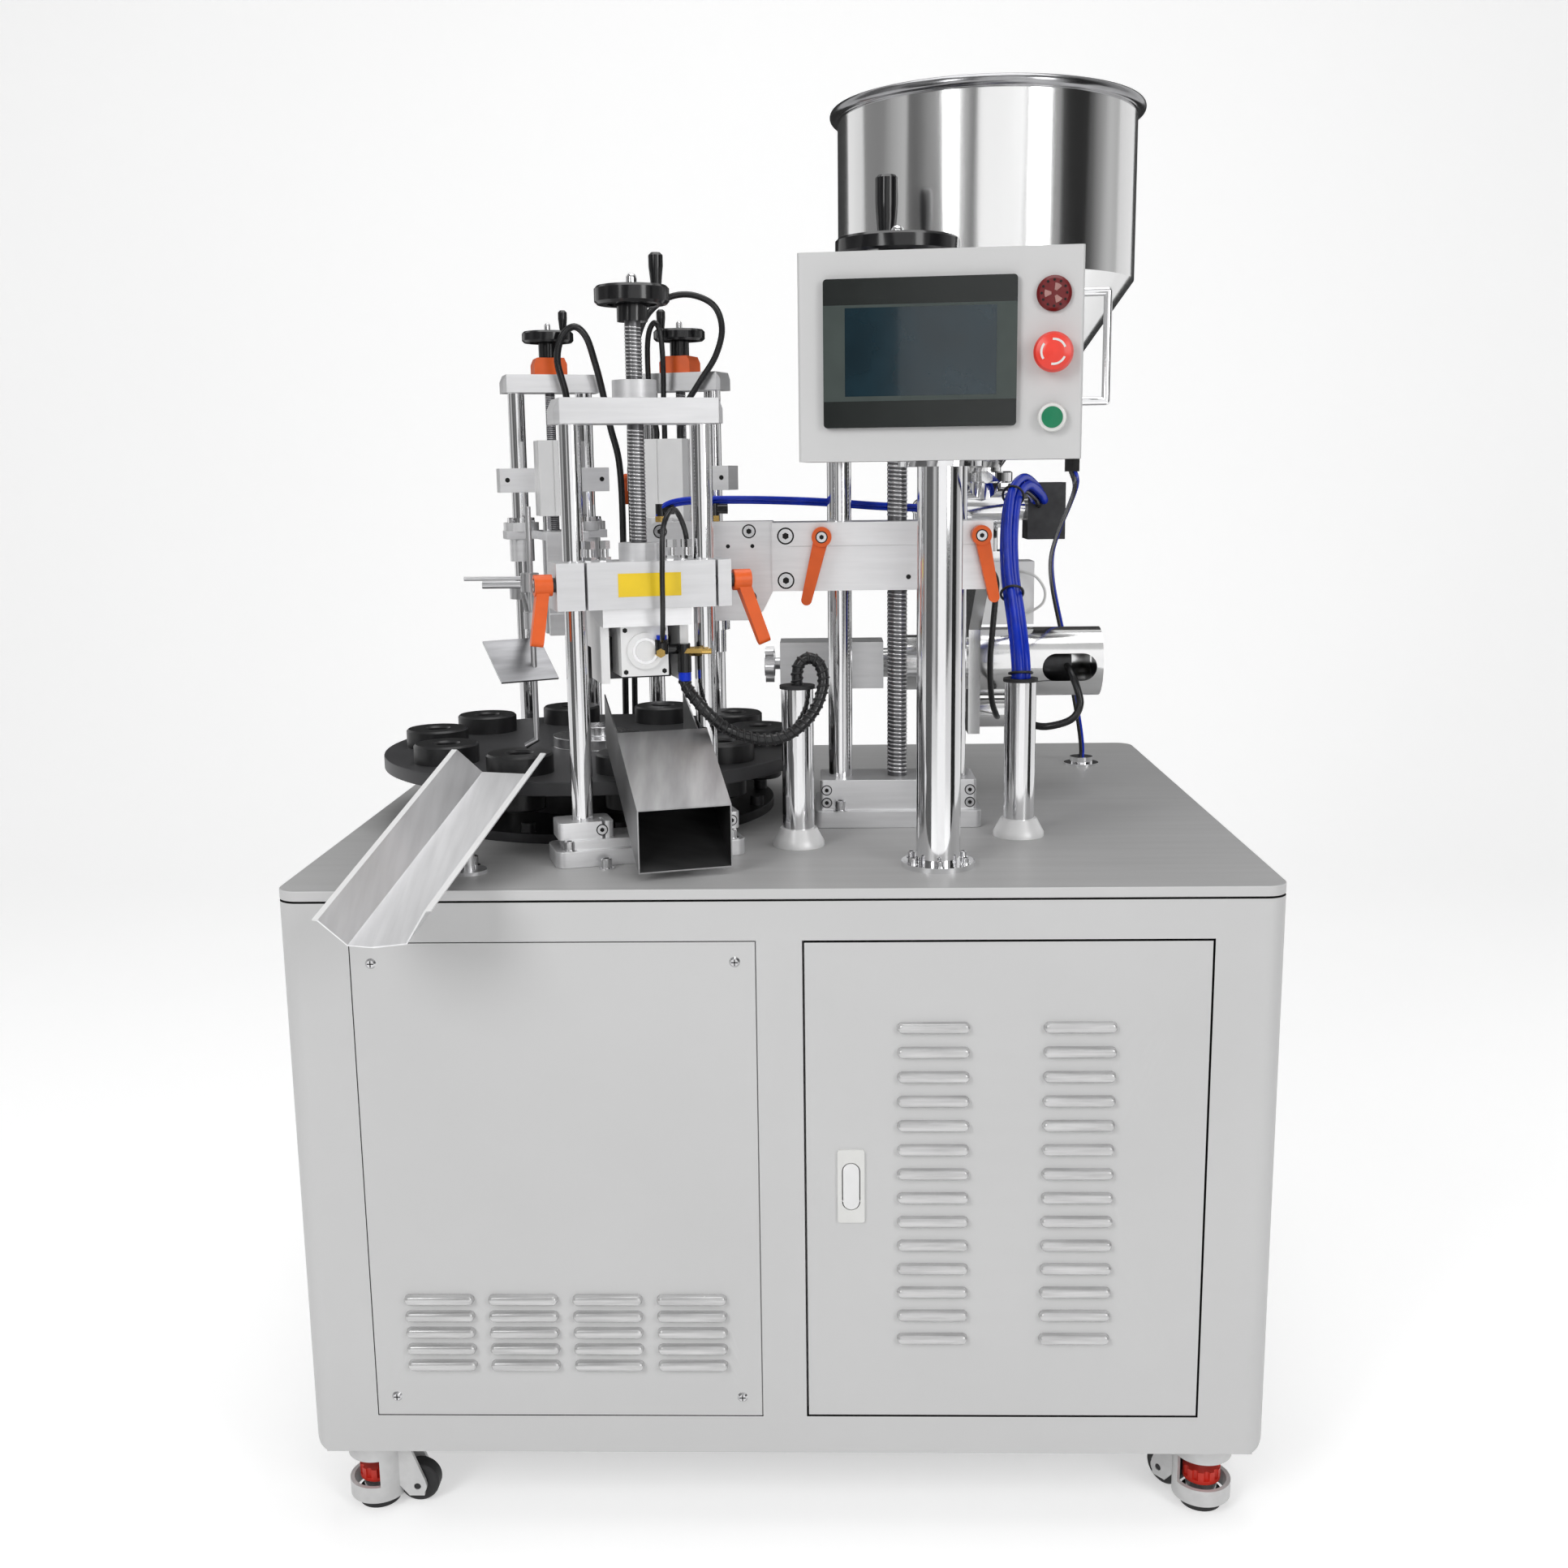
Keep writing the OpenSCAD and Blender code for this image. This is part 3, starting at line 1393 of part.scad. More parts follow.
module filler_crosshead() {
  seam_z = cross_z + 54;
  seam_h = 1;
  arm_left = nozzle_x - 86;
  arm_y0 = nozzle_y - 18;
  arm_y1 = nozzle_y + 22;
  haunch = cross_z - 36;
  color(alloy) on_table()
    difference() {
      union() {
        span([cross_x0, cross_front, cross_z], [cross_x1, cross_back, cross_top]);
        slab(arm_y0, arm_y1) {
          polygon([[cross_x0 + 1, cross_top + 2], [arm_left + 14, cross_top + 2], [arm_left, cross_top - 12],
            [arm_left, cross_z + 32], [nozzle_x - 40, cross_z + 32], [nozzle_x - 28, haunch],
            [nozzle_x + 44, haunch], [nozzle_x + 56, haunch + 12], [cross_x0 + 1, cross_z]]);
          translate([arm_left + 14, cross_top - 12])
            circle(14);
        }
        rod([nozzle_x, nozzle_y, haunch - 12], nozzle_d + 10, 13);
        rod([nozzle_x, nozzle_y, haunch - 40], nozzle_d, 41);
      }
      translate([fill_x, 0, 0])
        post_bores(fill_pitch, fill_y, cross_z - 1, cross_top + 3, fill_post_d, slide_gap);
      rod([fill_x, fill_y, cross_z - 1], fill_screw_d + 2 * slide_gap, cross_h + 4);
      span([cross_x0 + 18, cross_front - 1, seam_z], [cross_x1 + 1, cross_front + 2, seam_z + seam_h]);
      for (x = fill_lever_x)
        translate([x, cross_front - 1, fill_lever_z])
          rotate([-90, 0, 0])
            cylinder(d = 10 + 2 * run_gap, h = 20);
    }
}

module filler_lever_left() {
  on_table()
    translate([fill_lever_x[0], cross_front, fill_lever_z])
      rotate(-90)
        clamp_lever(10, 18, 84, 0, -14);
}

module filler_lever_right() {
  on_table()
    translate([fill_lever_x[1], cross_front, fill_lever_z])
      rotate(-90)
        clamp_lever(10, 18, 82, 0, 12);
}

// Pipe between two points that differ along one axis, with a ball elbow at its end
module pipe_run(a, b, d) {
  v = b - a;
  translate(a)
    rotate([0, acos(v[2] / norm(v)), atan2(v[1], v[0])])
      cylinder(d = d, h = norm(v));
  translate(b)
    sphere(d = d + 4);
}

// Metering pump on its side plate: star knob, block, barrel, motor shroud, valve and product pipe
module filler_pump() {
  plate_x0 = cross_x1 - 12;
  plate_x1 = plate_x0 + 16;
  plate_back = hopper_y + 35;
  half = 32;
  block_x0 = fill_x - 153;
  block_x1 = fill_x - 11;
  barrel_d = 76;
  shroud_d = 95;
  shroud_x1 = plate_x1 + 169;
  shell_t = 3;
  pipe = 25;
  pipe_z = cross_z + 42;
  pipe_y = cross_back + 35;
  pipe_pts = [[hopper_x - 50, hopper_y, valve_z], [hopper_x - 85, hopper_y, valve_z],
    [hopper_x - 85, hopper_y, pipe_z], [hopper_x - 85, pipe_y, pipe_z], [nozzle_x, pipe_y, pipe_z],
    [nozzle_x, nozzle_y + 24.05 + pipe / 2, pipe_z]];
  color(steel) on_table() {
    // Side plate from the crosshead back to the hopper
    side_slab(plate_x0, plate_x1)
      polygon([[cross_back, cross_z + 2], [cross_back, cross_top - 20], [plate_back, cross_z + 32],
        [plate_back, pump_z + 60], [pump_y + 62, pump_z - 50], [pump_y + 40, pump_z - 92],
        [pump_y - 62, pump_z - 92], [pump_y - 62, pump_z + 50]]);
    // Pump on its axis along X
    span([block_x0, pump_y - half, pump_z - half], [block_x1, pump_y + half, pump_z + half]);
    translate([block_x0 - 22, pump_y, pump_z])
      rotate([0, 90, 0]) {
        cylinder(d = 34, h = 14);
        cylinder(d = 16, h = 23);
        for (k = [0 : 4])
          rotate(72 * k)
            rod([19, 0, 1], 14, 12);
      }
    rod_x([block_x1 - 1, pump_y, pump_z], 40, 30);
    rod_x([block_x1 + 20, pump_y, pump_z], barrel_d, plate_x0 - block_x1 - 19);
    rod_x([plate_x1 - 1, pump_y, pump_z], 58, shroud_x1 - plate_x1 - 40);
    difference() {
      rod_x([plate_x1, pump_y, pump_z], shroud_d, shroud_x1 - plate_x1);
      rod_x([plate_x1 - 1, pump_y, pump_z], shroud_d - 2 * shell_t, shroud_x1 - plate_x1 - shell_t + 1);
      slab(pump_y - shroud_d, pump_y)
        translate([shroud_x1 - 46, pump_z - 4])
          rounded(74, 38, 18.9);
    }
    // Outlet port low on the plate
    rod_x([plate_x1 - 1, pump_y - 10, pump_z - 70], 40, 42);
    // Shelf, valve body and its neck below the hopper
    span([plate_x0, hopper_y - 32, cross_z + 20], [hopper_x + 35, hopper_y + 32, cross_z + 32]);
    rod([hopper_x, hopper_y, cross_z + 31], 44, valve_z - cross_z - 31);
    rod_x([hopper_x - 50, hopper_y, valve_z], 56, 96);
    rod([hopper_x, hopper_y, valve_z], outlet_d, outlet_z - valve_z);
    rod([hopper_x, hopper_y, outlet_z - 7], outlet_d + 26, 7);
    // Turning actuator of the valve and the upright air cylinder
    rod_x([hopper_x + 45, hopper_y, valve_z], 36, 20);
    span([hopper_x + 60, hopper_y - 34, valve_z - 44], [hopper_x + 112, hopper_y + 30, valve_z + 34]);
    span([plate_x1, hopper_y - 76, pump_z + 52], [plate_x1 + 78, hopper_y - 20, cross_z + 20]);
    // Product pipe behind the crosshead to the nozzle
    for (i = [0 : len(pipe_pts) - 2])
      pipe_run(pipe_pts[i], pipe_pts[i + 1], pipe);
  }
}

hopper_seat = outlet_z;
hopper_cone_z = hopper_seat + 14;
hopper_wall_z = hopper_cone_z + hopper_cone_h;
hopper_top = hopper_wall_z + hopper_wall_h;

module hopper() {
  r = hopper_d / 2;
  o = outlet_d / 2;
  t = hopper_t;
  rim = 7;
  color(steel) on_table() translate([hopper_x, hopper_y, 0])
    rotate_extrude($fn = 128) {
      polygon([[o - t, hopper_seat], [o + 13, hopper_seat], [o + 13, hopper_seat + 7], [o, hopper_seat + 9],
        [o, hopper_cone_z], [r, hopper_wall_z], [r, hopper_top], [r - t, hopper_top],
        [r - t, hopper_wall_z + t / 2], [o - t, hopper_cone_z + t / 2]]);
      translate([r + rim / 2, hopper_top - rim])
        circle(rim);
    }
}

module filler_screw() {
  low = fill_base_h - 20 + seat_gap;
  collar_z = fill_top_z + fill_top_t + seat_gap;
  wheel_z = collar_z + 28;
  on_table() translate([fill_x, fill_y, 0]) {
    color(steel)
      rod([0, 0, low], fill_screw_d, wheel_z - low);
    translate([0, 0, wheel_z])
      rotate(100)
        handwheel(fill_wheel_d, 20, 46, 28, 16, 28, 84);
  }
}

// Operator box: closed sheet housing with a handle, holes for the buttons and a socket for the column
panel_x = 118;
buzzer_z = box_h * 0.776;
estop_z = box_h * 0.5;
start_z = box_h * 0.197;
stem_d = 16;

module hmi_box() {
  r = 4;
  socket = 26;
  grip_d = 9;
  grip_out = 26;
  grip_half = 56;
  button_room = 40;
  x = box_w / 2;
  color(body_grey) on_box() {
    difference() {
      linear_extrude(box_h)
        rounded(box_w, box_d, r);
      rod([0, 0, -1], spigot_d + 2 * run_gap, socket + 1);
      for (z = [estop_z, start_z])
        translate([panel_x, -box_d / 2 - 1, z])
          rotate([-90, 0, 0])
            cylinder(d = stem_d + 2 * slide_gap, h = button_room);
      slab(-box_d / 2 - 1, 8 - box_d / 2)
        translate([screen_x, screen_z])
          square([screen_w - 20, screen_h - 20], center = true);
    }
    // Sounder cap
    translate([panel_x, 1 - box_d / 2, buzzer_z])
      rotate([90, 0, 0])
        rotate_extrude()
          polygon([[0, 0], [18, 0], [18, 5], [15, 8], [0, 9]]);
    // Bent handle on the side
    for (z = [-1, 1]) {
      rod_x([x - 1, 0, box_h * 0.54 + z * grip_half], grip_d, grip_out + 1);
      translate([x + grip_out, 0, box_h * 0.54 + z * grip_half])
        sphere(d = grip_d);
    }
    rod([x + grip_out, 0, box_h * 0.54 - grip_half], grip_d, 2 * grip_half);
  }
}

screen_w = 202;
screen_h = 152;
screen_x = -20;
screen_z = box_h * 0.515;

module hmi_screen() {
  bezel = 7;
  glass_w = 158;
  glass_h = 92;
  color(black) on_box()
    difference() {
      union() {
        slab(-box_d / 2 - bezel, -box_d / 2)
          translate([screen_x, screen_z])
            rounded(screen_w, screen_h, 4);
        slab(-box_d / 2 - 1, 7 - box_d / 2)
          translate([screen_x, screen_z])
            square([screen_w - 21, screen_h - 21], center = true);
      }
      slab(-box_d / 2 - bezel - 1, 1 - box_d / 2 - bezel)
        translate([screen_x, screen_z + 1])
          square([glass_w, glass_h], center = true);
    }
}

// Push button: shaped head in front of the panel, stem through it; origin at the panel's face
module push_button(z, profile, room) {
  on_box()
    translate([panel_x, -box_d / 2 - room, z])
      rotate([90, 0, 0]) {
        rotate_extrude()
          polygon(profile);
        rod([0, 0, -room - 20], stem_d, room + 21);
      }
}

module estop_button() {
  color(red)
    push_button(estop_z, [[0, 0], [12, 0], [20, 6], [20.5, 10], [18, 15], [10, 18], [0, 19]], 6);
}

module start_button() {
  color([0, 0.5, 0.32])
    push_button(start_z, [[0, 0], [14, 0], [15, 2], [14, 6], [11, 7], [11, 8], [0, 9]], 3.5);
}

// Routes of the hoses, on the table's own axes
pipe_in = pipe_h - 8;
cutter_route = [[-110, 166.6, 214.98], [-110, 166.6, 204], [-100, 159, 188], [-79.3, 159.8, 164],
  [-60.9, 167.9, 148], [-36, 171, 138], [-10, 173, 135], [15, 178, 143], [39, 190, 166], [50, 201, 196],
  [46, 208, 218], [33, 212, 226], [22, 212, 219], [left_pipe[0], left_pipe[1], pipe_in + 26],
  [left_pipe[0], left_pipe[1], pipe_in + 17], [left_pipe[0], left_pipe[1], pipe_in]];
cutter_loop_route = [[-104, 178, 345], [-106, 166, 378], [-116, 146, 402], [-126, 124, 384],
  [-128, 118, 340], [-129, 122, 296], [-131, 134, 266], [-133, 146, 255], [-135, 157, 253]];
left_route = [[-318, 722, 492.02], [-318, 722, 506], [-322, 718, 558], [-332, 714, 604],
  [-324, 712, 638], [-306, 714, 652], [-290, 720, 638], [-280, 728, 604], [-272, 734, 568],
  [-262, 742, 512], [-252, 754, 460], [-251, 768, 380], [-256, 792, 220], [-261, 815, 80],
  [rear_outlet[0] - twin, rear_outlet[1], 4]];
right_loop_route = [[-192, 724, 492.02], [-192, 724, 506], [-200, 723, 550], [-202, 721, 608],
  [-199, 719, 642], [-190, 716, 656], [-182, 713, 642], [-179, 713, 600], [-180, 719, 545],
  [-180, 722, 506], [-180, 722, 492.02]];
right_route = [[rear_outlet[0] + twin, rear_outlet[1], 4], [-246, 812, 90], [-239, 778, 280],
  [-234, 744, 430], [-227, 712, 560], [-208, 692, 645], [-178, 690, 682], [-140, 692, 692],
  [-104, 696, 678], [-92, 700, 646], [-102, 704, 608], [-126, 708, 572], [-150, 712, 535],
  [-156, 714, 506], [-156, 714, 492.02]];
filler_route = [[right_pipe[0], right_pipe[1], pipe_in], [288, 260, 204], [287, 272, 232],
  [285, 300, 268], [283, 350, 316], [288, 410, 366], [300, 470, 408], [320, 520, 424], [340, 562, 414],
  [349, 583, 404], [349, 595.98, 404]];
arm_route = [[-150, 336, 383.02], [-150, 336, 393], [-141, 335, 403], [-120, 336, 408], [-84, 340, 409],
  [-24, 348, 408], [50, 386, 404], [120, 402, 398], [190, 470, 393], [224, 540, 391], [238, 578, 390],
  [240, 590, 390], [240, 601.98, 390]];
pump_route = [[262.02, 430, 312], [269, 430, 312], [275, 431, 300], [275, 432, 282], [272, 436, 240],
  [270, 446, 190], [274, 462, 142], [282, 484, 118], [287, 510, 110], [287, 529.9, 110]];
motor_route = [[384, 531, 176], [385, 508, 171], [392, 494, 152], [396, 488, 128], [384, 488, 108],
  [352, 494, 98], [330, 512, 100], [318, 534, 107], [311, 543, 110], [303.02, 543, 110]];
cable_route = [[320, 92, 451.28], [320, 92, 441], [326, 106, 430], [340, 200, 418], [347, 300, 394],
  [352, 420, 360], [361, 540, 322], [380, 652, 272], [406, 708, 186], [432, 745, 82], [441, 753, 30],
  [table_outlet[0], table_outlet[1], 4]];

module cutter_hoses() {
  color(black) on_table() {
    hose(cutter_route, wrapped_d);
    hose(cutter_loop_route, 6);
  }
}

module rear_hoses() {
  color(black) on_table() {
    hose(left_route, air_d);
    hose(right_loop_route, 8);
    hose(right_route, air_d);
  }
}

module filler_hose() {
  color(blue) on_table()
    hose(filler_route, bundle_d);
}

module filler_lines() {
  color(blue) on_table() {
    hose(arm_route, 12);
    hose(pump_route, 8);
    hose(motor_route, 10);
  }
}

module hmi_cable() {
  color(blue) on_table()
    hose(cable_route, air_d);
}

cabinet_shell();
table_top();
front_panel();
door_hinges();
control_plate();
index_drive();
turntable_base();
guide_posts();
station_bases();
filler_base();
top_plates();
height_counters();
scrap_chute();
hmi_column();
conduit_pipes();
discharge_chute();
tube_deflector();
turntable_disc();
tube_cups();
front_door();
latch_case();
latch_lever();
caster(0);  // caster_front_left
caster(1);  // caster_front_right
caster(2);  // caster_rear_left
caster(3);  // caster_rear_right
caster_wheel(0);  // wheel_front_left
caster_wheel(1);  // wheel_front_right
caster_wheel(2);  // wheel_rear_left
caster_wheel(3);  // wheel_rear_right
caster_foot(0);  // foot_front_left
caster_foot(1);  // foot_front_right
caster_foot(2);  // foot_rear_left
caster_foot(3);  // foot_rear_right
cutter_block();
cutter_unit();
cutter_knife();
cutter_screw();
cutter_lever_left();
cutter_lever_right();
left_head();
left_press();
left_screw();
right_head();
right_screw();
filler_crosshead();
filler_pump();
hopper();
filler_screw();
filler_lever_left();
filler_lever_right();
hmi_box();
hmi_screen();
estop_button();
start_button();
cutter_hoses();
rear_hoses();
filler_hose();
filler_lines();
hmi_cable();
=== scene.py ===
import math
import bmesh
import bpy
from mathutils import Matrix, Vector


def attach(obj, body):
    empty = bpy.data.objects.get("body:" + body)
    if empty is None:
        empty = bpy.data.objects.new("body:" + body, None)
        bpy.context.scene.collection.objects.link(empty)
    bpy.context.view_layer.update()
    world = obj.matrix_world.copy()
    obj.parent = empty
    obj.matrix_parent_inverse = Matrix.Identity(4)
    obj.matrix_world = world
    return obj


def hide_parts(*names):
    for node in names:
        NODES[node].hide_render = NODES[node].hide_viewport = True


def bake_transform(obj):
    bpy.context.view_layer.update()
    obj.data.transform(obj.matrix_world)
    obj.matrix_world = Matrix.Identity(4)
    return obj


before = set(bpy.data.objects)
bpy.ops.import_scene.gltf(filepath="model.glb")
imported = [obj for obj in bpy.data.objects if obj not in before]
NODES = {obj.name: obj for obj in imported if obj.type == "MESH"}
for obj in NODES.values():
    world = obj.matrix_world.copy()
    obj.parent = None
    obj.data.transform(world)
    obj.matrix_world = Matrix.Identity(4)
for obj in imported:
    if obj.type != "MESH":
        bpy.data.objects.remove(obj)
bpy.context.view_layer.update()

# Sizes of the model in millimetres, as in the CAD
FRONT_Y, TABLE_Z = -419.0, 768.0
DISC = (-255.0, 458.0)
STATION_R = 313.0
CUT_ANGLE, LEFT_ANGLE, RIGHT_ANGLE = -72, 108, 72
BOX_PLACE = (179, 103, 451.3)
BOX_TURN = math.radians(-6.6)
OPENING_X, OPENING_MID, OPENING_H = 248, 426.5, 567
FILL_SCREW = (143, 350)
HOPPER_AXIS = (275, 630)


def tab(x, y, z):
    """A point given on the table, in millimetres, as a point of the row frame in metres."""
    return Vector((x, y + FRONT_Y, z + TABLE_Z)) / 1000.0


def on_table():
    return Matrix.Translation(tab(0, 0, 0)) @ Matrix.Scale(0.001, 4)


def at_station(angle):
    """Millimetre frame of a station: X along the tangent, -Y outwards, Z from the table."""
    return (Matrix.Translation(tab(DISC[0], DISC[1], 0)) @ Matrix.Rotation(math.radians(angle + 90), 4, "Z")
            @ Matrix.Scale(0.001, 4))


def on_box():
    """Millimetre frame of the operator box: X across its front, -Y outwards, Z from its underside."""
    turn = Matrix.Rotation(BOX_TURN, 4, "Z")
    return Matrix.Translation(tab(*BOX_PLACE)) @ turn @ Matrix.Scale(0.001, 4)


ON_TABLE = on_table()
CUTTER = at_station(CUT_ANGLE)
LEFT = at_station(LEFT_ANGLE)
RIGHT = at_station(RIGHT_ANGLE)
BOX = on_box()
FRONT = Matrix.Translation((0, FRONT_Y / 1000, 0)) @ Matrix.Scale(0.001, 4)


# Materials

def material(name, color, rough=0.5, metal=0.0, vary=0.06, scale=9.0, stretch=(1, 1, 1), bump=0.0,
             bump_scale=300.0, rough_vary=0.1, coat=0.0, spec=0.5, emit=0.0):
    """A finish whose colour, roughness and surface come from noise on the piece's own coordinates."""
    m = bpy.data.materials.new(name)
    m.use_nodes = True
    nt = m.node_tree
    bsdf = nt.nodes["Principled BSDF"]
    coord = nt.nodes.new("ShaderNodeTexCoord")
    mapping = nt.nodes.new("ShaderNodeMapping")
    mapping.inputs["Scale"].default_value = stretch
    nt.links.new(coord.outputs["Object"], mapping.inputs["Vector"])
    noise = nt.nodes.new("ShaderNodeTexNoise")
    noise.inputs["Scale"].default_value = scale
    noise.inputs["Detail"].default_value = 4.0
    nt.links.new(mapping.outputs["Vector"], noise.inputs["Vector"])
    ramp = nt.nodes.new("ShaderNodeValToRGB")
    ramp.color_ramp.elements[0].position = 0.3
    ramp.color_ramp.elements[1].position = 0.7
    ramp.color_ramp.elements[0].color = [max(0.0, c * (1 - vary)) for c in color] + [1]
    ramp.color_ramp.elements[1].color = [min(1.0, c * (1 + vary)) for c in color] + [1]
    nt.links.new(noise.outputs["Fac"], ramp.inputs["Fac"])
    nt.links.new(ramp.outputs["Color"], bsdf.inputs["Base Color"])
    level = nt.nodes.new("ShaderNodeMapRange")
    level.inputs["To Min"].default_value = max(0.02, rough * (1 - rough_vary))
    level.inputs["To Max"].default_value = min(1.0, rough * (1 + rough_vary))
    nt.links.new(noise.outputs["Fac"], level.inputs["Value"])
    nt.links.new(level.outputs["Result"], bsdf.inputs["Roughness"])
    bsdf.inputs["Metallic"].default_value = metal
    bsdf.inputs["Coat Weight"].default_value = coat
    bsdf.inputs["Specular IOR Level"].default_value = spec
    if emit:
        nt.links.new(ramp.outputs["Color"], bsdf.inputs["Emission Color"])
        bsdf.inputs["Emission Strength"].default_value = emit
    if bump:
        fine = nt.nodes.new("ShaderNodeTexNoise")
        fine.inputs["Scale"].default_value = bump_scale
        fine.inputs["Detail"].default_value = 2.0
        nt.links.new(mapping.outputs["Vector"], fine.inputs["Vector"])
        node = nt.nodes.new("ShaderNodeBump")
        node.inputs["Strength"].default_value = bump
        node.inputs["Distance"].default_value = 0.0006
        nt.links.new(fine.outputs["Fac"], node.inputs["Height"])
        nt.links.new(node.outputs["Normal"], bsdf.inputs["Normal"])
    return m


PAINT = material("cabinet paint", (0.66, 0.66, 0.66), 0.42, 0.0, 0.025, 3.0, bump=0.06, bump_scale=900)
# Table steel darkened as painted shade: the level top is drawn darker than its edges to stand in for the
# shade it shows
SHADED_TABLE_STEEL = material("table steel", (0.44, 0.44, 0.44), 0.48, 0.0, 0.05, 4.0, (1, 14, 1), 0.05, 220)
ALLOY = material("satin alloy", (0.80, 0.80, 0.81), 0.34, 0.75, 0.04, 14.0, (1, 1, 12), 0.05, 160)
WHITE = material("white alloy", (0.86, 0.86, 0.86), 0.36, 0.15, 0.03, 20.0)
CHROME = material("chrome", (0.86, 0.86, 0.87), 0.09, 1.0, 0.04, 30.0, (1, 1, 0.06), 0.02, 260)
DULL_ALLOY = material("dull alloy", (0.64, 0.64, 0.65), 0.42, 0.5, 0.05, 14.0, (1, 1, 12), 0.05, 160)
BRUSHED = material("brushed stainless", (0.58, 0.58, 0.59), 0.3, 1.0, 0.16, 26.0, (0.35, 4, 0.35), 0.1, 200)
BRIGHT = material("bright stainless", (0.84, 0.84, 0.85), 0.3, 0.8, 0.07, 26.0, (4, 0.35, 0.35), 0.06, 200)
# Painted shade: near-black stainless for the faces inside the scrap chute's duct
DUCT_SHADE = material("dark duct", (0.045, 0.045, 0.046), 0.34, 0.7, 0.25, 22.0, (0.4, 3, 0.4), 0.08, 200)
# Painted shade: a darker copy of the chute stainless, for the scrap chute
SHADED_STAINLESS = material("worn stainless", (0.34, 0.34, 0.345), 0.4, 1.0, 0.3, 14.0, (2.4, 0.5, 0.5), 0.1, 160)
PLATE = material("dull plate", (0.30, 0.30, 0.31), 0.36, 1.0, 0.2, 30.0, (0.4, 0.4, 4), 0.08, 240)
# Painted shade: screw shafts darkened so that the valleys between the bright thread ridges read as shade
THREAD_ROOT_SHADE = material("thread root", (0.13, 0.13, 0.135), 0.36, 1.0, 0.15, 60.0)
POLISHED = material("hopper steel", (0.86, 0.86, 0.86), 0.14, 1.0, 0.03, 40.0, (1, 1, 0.05), 0.02, 260)
RIM = material("rolled rim", (0.34, 0.34, 0.35), 0.2, 1.0, 0.08, 40.0)
STEEL = material("screw steel", (0.62, 0.62, 0.63), 0.24, 1.0, 0.10, 60.0)
DARK_STEEL = material("blackened steel", (0.035, 0.035, 0.037), 0.34, 0.5, 0.25, 60.0, bump=0.05)
DISC_GREY = material("disc grey", (0.052, 0.052, 0.055), 0.42, 0.2, 0.14, 14.0, bump=0.05)
BLACK = material("black plastic", (0.013, 0.013, 0.014), 0.36, 0.0, 0.2, 50.0, bump=0.04, bump_scale=700)
GLOSS_BLACK = material("gloss black", (0.010, 0.010, 0.011), 0.16, 0.0, 0.2, 40.0)
RUBBER = material("rubber", (0.016, 0.016, 0.017), 0.62, 0.0, 0.2, 60.0, bump=0.1, bump_scale=500)
ORANGE = material("orange plastic", (0.86, 0.125, 0.012), 0.38, 0.0, 0.07, 40.0, bump=0.05, bump_scale=600)
BLUE = material("blue hose", (0.001, 0.030, 0.52), 0.26, 0.0, 0.12, 50.0, spec=0.35)
HOSE = material("black hose", (0.012, 0.012, 0.013), 0.24, 0.0, 0.2, 60.0)
RED = material("red plastic", (0.90, 0.055, 0.035), 0.3, 0.0, 0.05, 40.0)
RED_RING = material("red ring", (0.62, 0.03, 0.015), 0.4, 0.0, 0.1, 60.0)
GREEN = material("green plastic", (0.0, 0.20, 0.085), 0.3, 0.0, 0.08, 50.0)
MAROON = material("maroon plastic", (0.16, 0.006, 0.008), 0.3, 0.0, 0.15, 60.0)
ROSE = material("faded red", (0.42, 0.22, 0.20), 0.4, 0.0, 0.15, 60.0)
CREAM = material("white plastic", (0.82, 0.82, 0.80), 0.4, 0.0, 0.03, 40.0)
BRASS = material("brass", (0.78, 0.52, 0.16), 0.2, 1.0, 0.1, 60.0)
YELLOW = material("yellow plate", (0.95, 0.66, 0.01), 0.45, 0.0, 0.05, 30.0)
BEZEL = material("bezel", (0.010, 0.013, 0.012), 0.22, 0.0, 0.15, 30.0)
BEZEL_MID = material("bezel border", (0.045, 0.060, 0.055), 0.3, 0.0, 0.08, 30.0)
DISPLAY = material("display", (0.006, 0.022, 0.032), 0.12, 0.0, 0.35, 14.0, coat=0.5)
DIECAST = material("die-cast grey", (0.66, 0.66, 0.66), 0.4, 0.25, 0.07, 50.0, bump=0.25, bump_scale=260)
LOUVRE = material("louvre grey", (0.58, 0.58, 0.58), 0.26, 0.55, 0.14, 60.0, (0.3, 1, 4), 0.06, 200)
SHADOW = material("shadow", (0.004, 0.004, 0.004), 0.8, 0.0, 0.2, 30.0)


# CAD nodes with finishes, softened edges and smooth shading

def finish_node(name, mats, pick=None, bevel=0.0):
    """Paints a CAD node; pick gives a face's place in mats from its centre on the table and its normal."""
    o = NODES[name]
    o.data.materials.clear()
    for m in mats:
        o.data.materials.append(m)
    for poly in o.data.polygons:
        poly.use_smooth = True
        if pick:
            c = poly.center * 1000
            poly.material_index = pick(Vector((c.x, c.y - FRONT_Y, c.z - TABLE_Z)), poly.normal)
        else:
            poly.material_index = 0
    weld = o.modifiers.new("weld", "WELD")
    weld.merge_threshold = 0.00001
    if bevel:
        flat = o.modifiers.new("flat", "DECIMATE")
        flat.decimate_type = "DISSOLVE"
        flat.angle_limit = math.radians(0.4)
        flat.delimit = {"MATERIAL"}
        bev = o.modifiers.new("bevel", "BEVEL")
        bev.width = bevel / 1000
        bev.segments = 2
        bev.limit_method = "ANGLE"
        bev.angle_limit = math.radians(40)
        bev.use_clamp_overlap = True
        bev.harden_normals = False
    else:
        split = o.modifiers.new("split", "EDGE_SPLIT")
        split.split_angle = math.radians(34)
    normal = o.modifiers.new("normals", "WEIGHTED_NORMAL")
    normal.keep_sharp = True
    return o


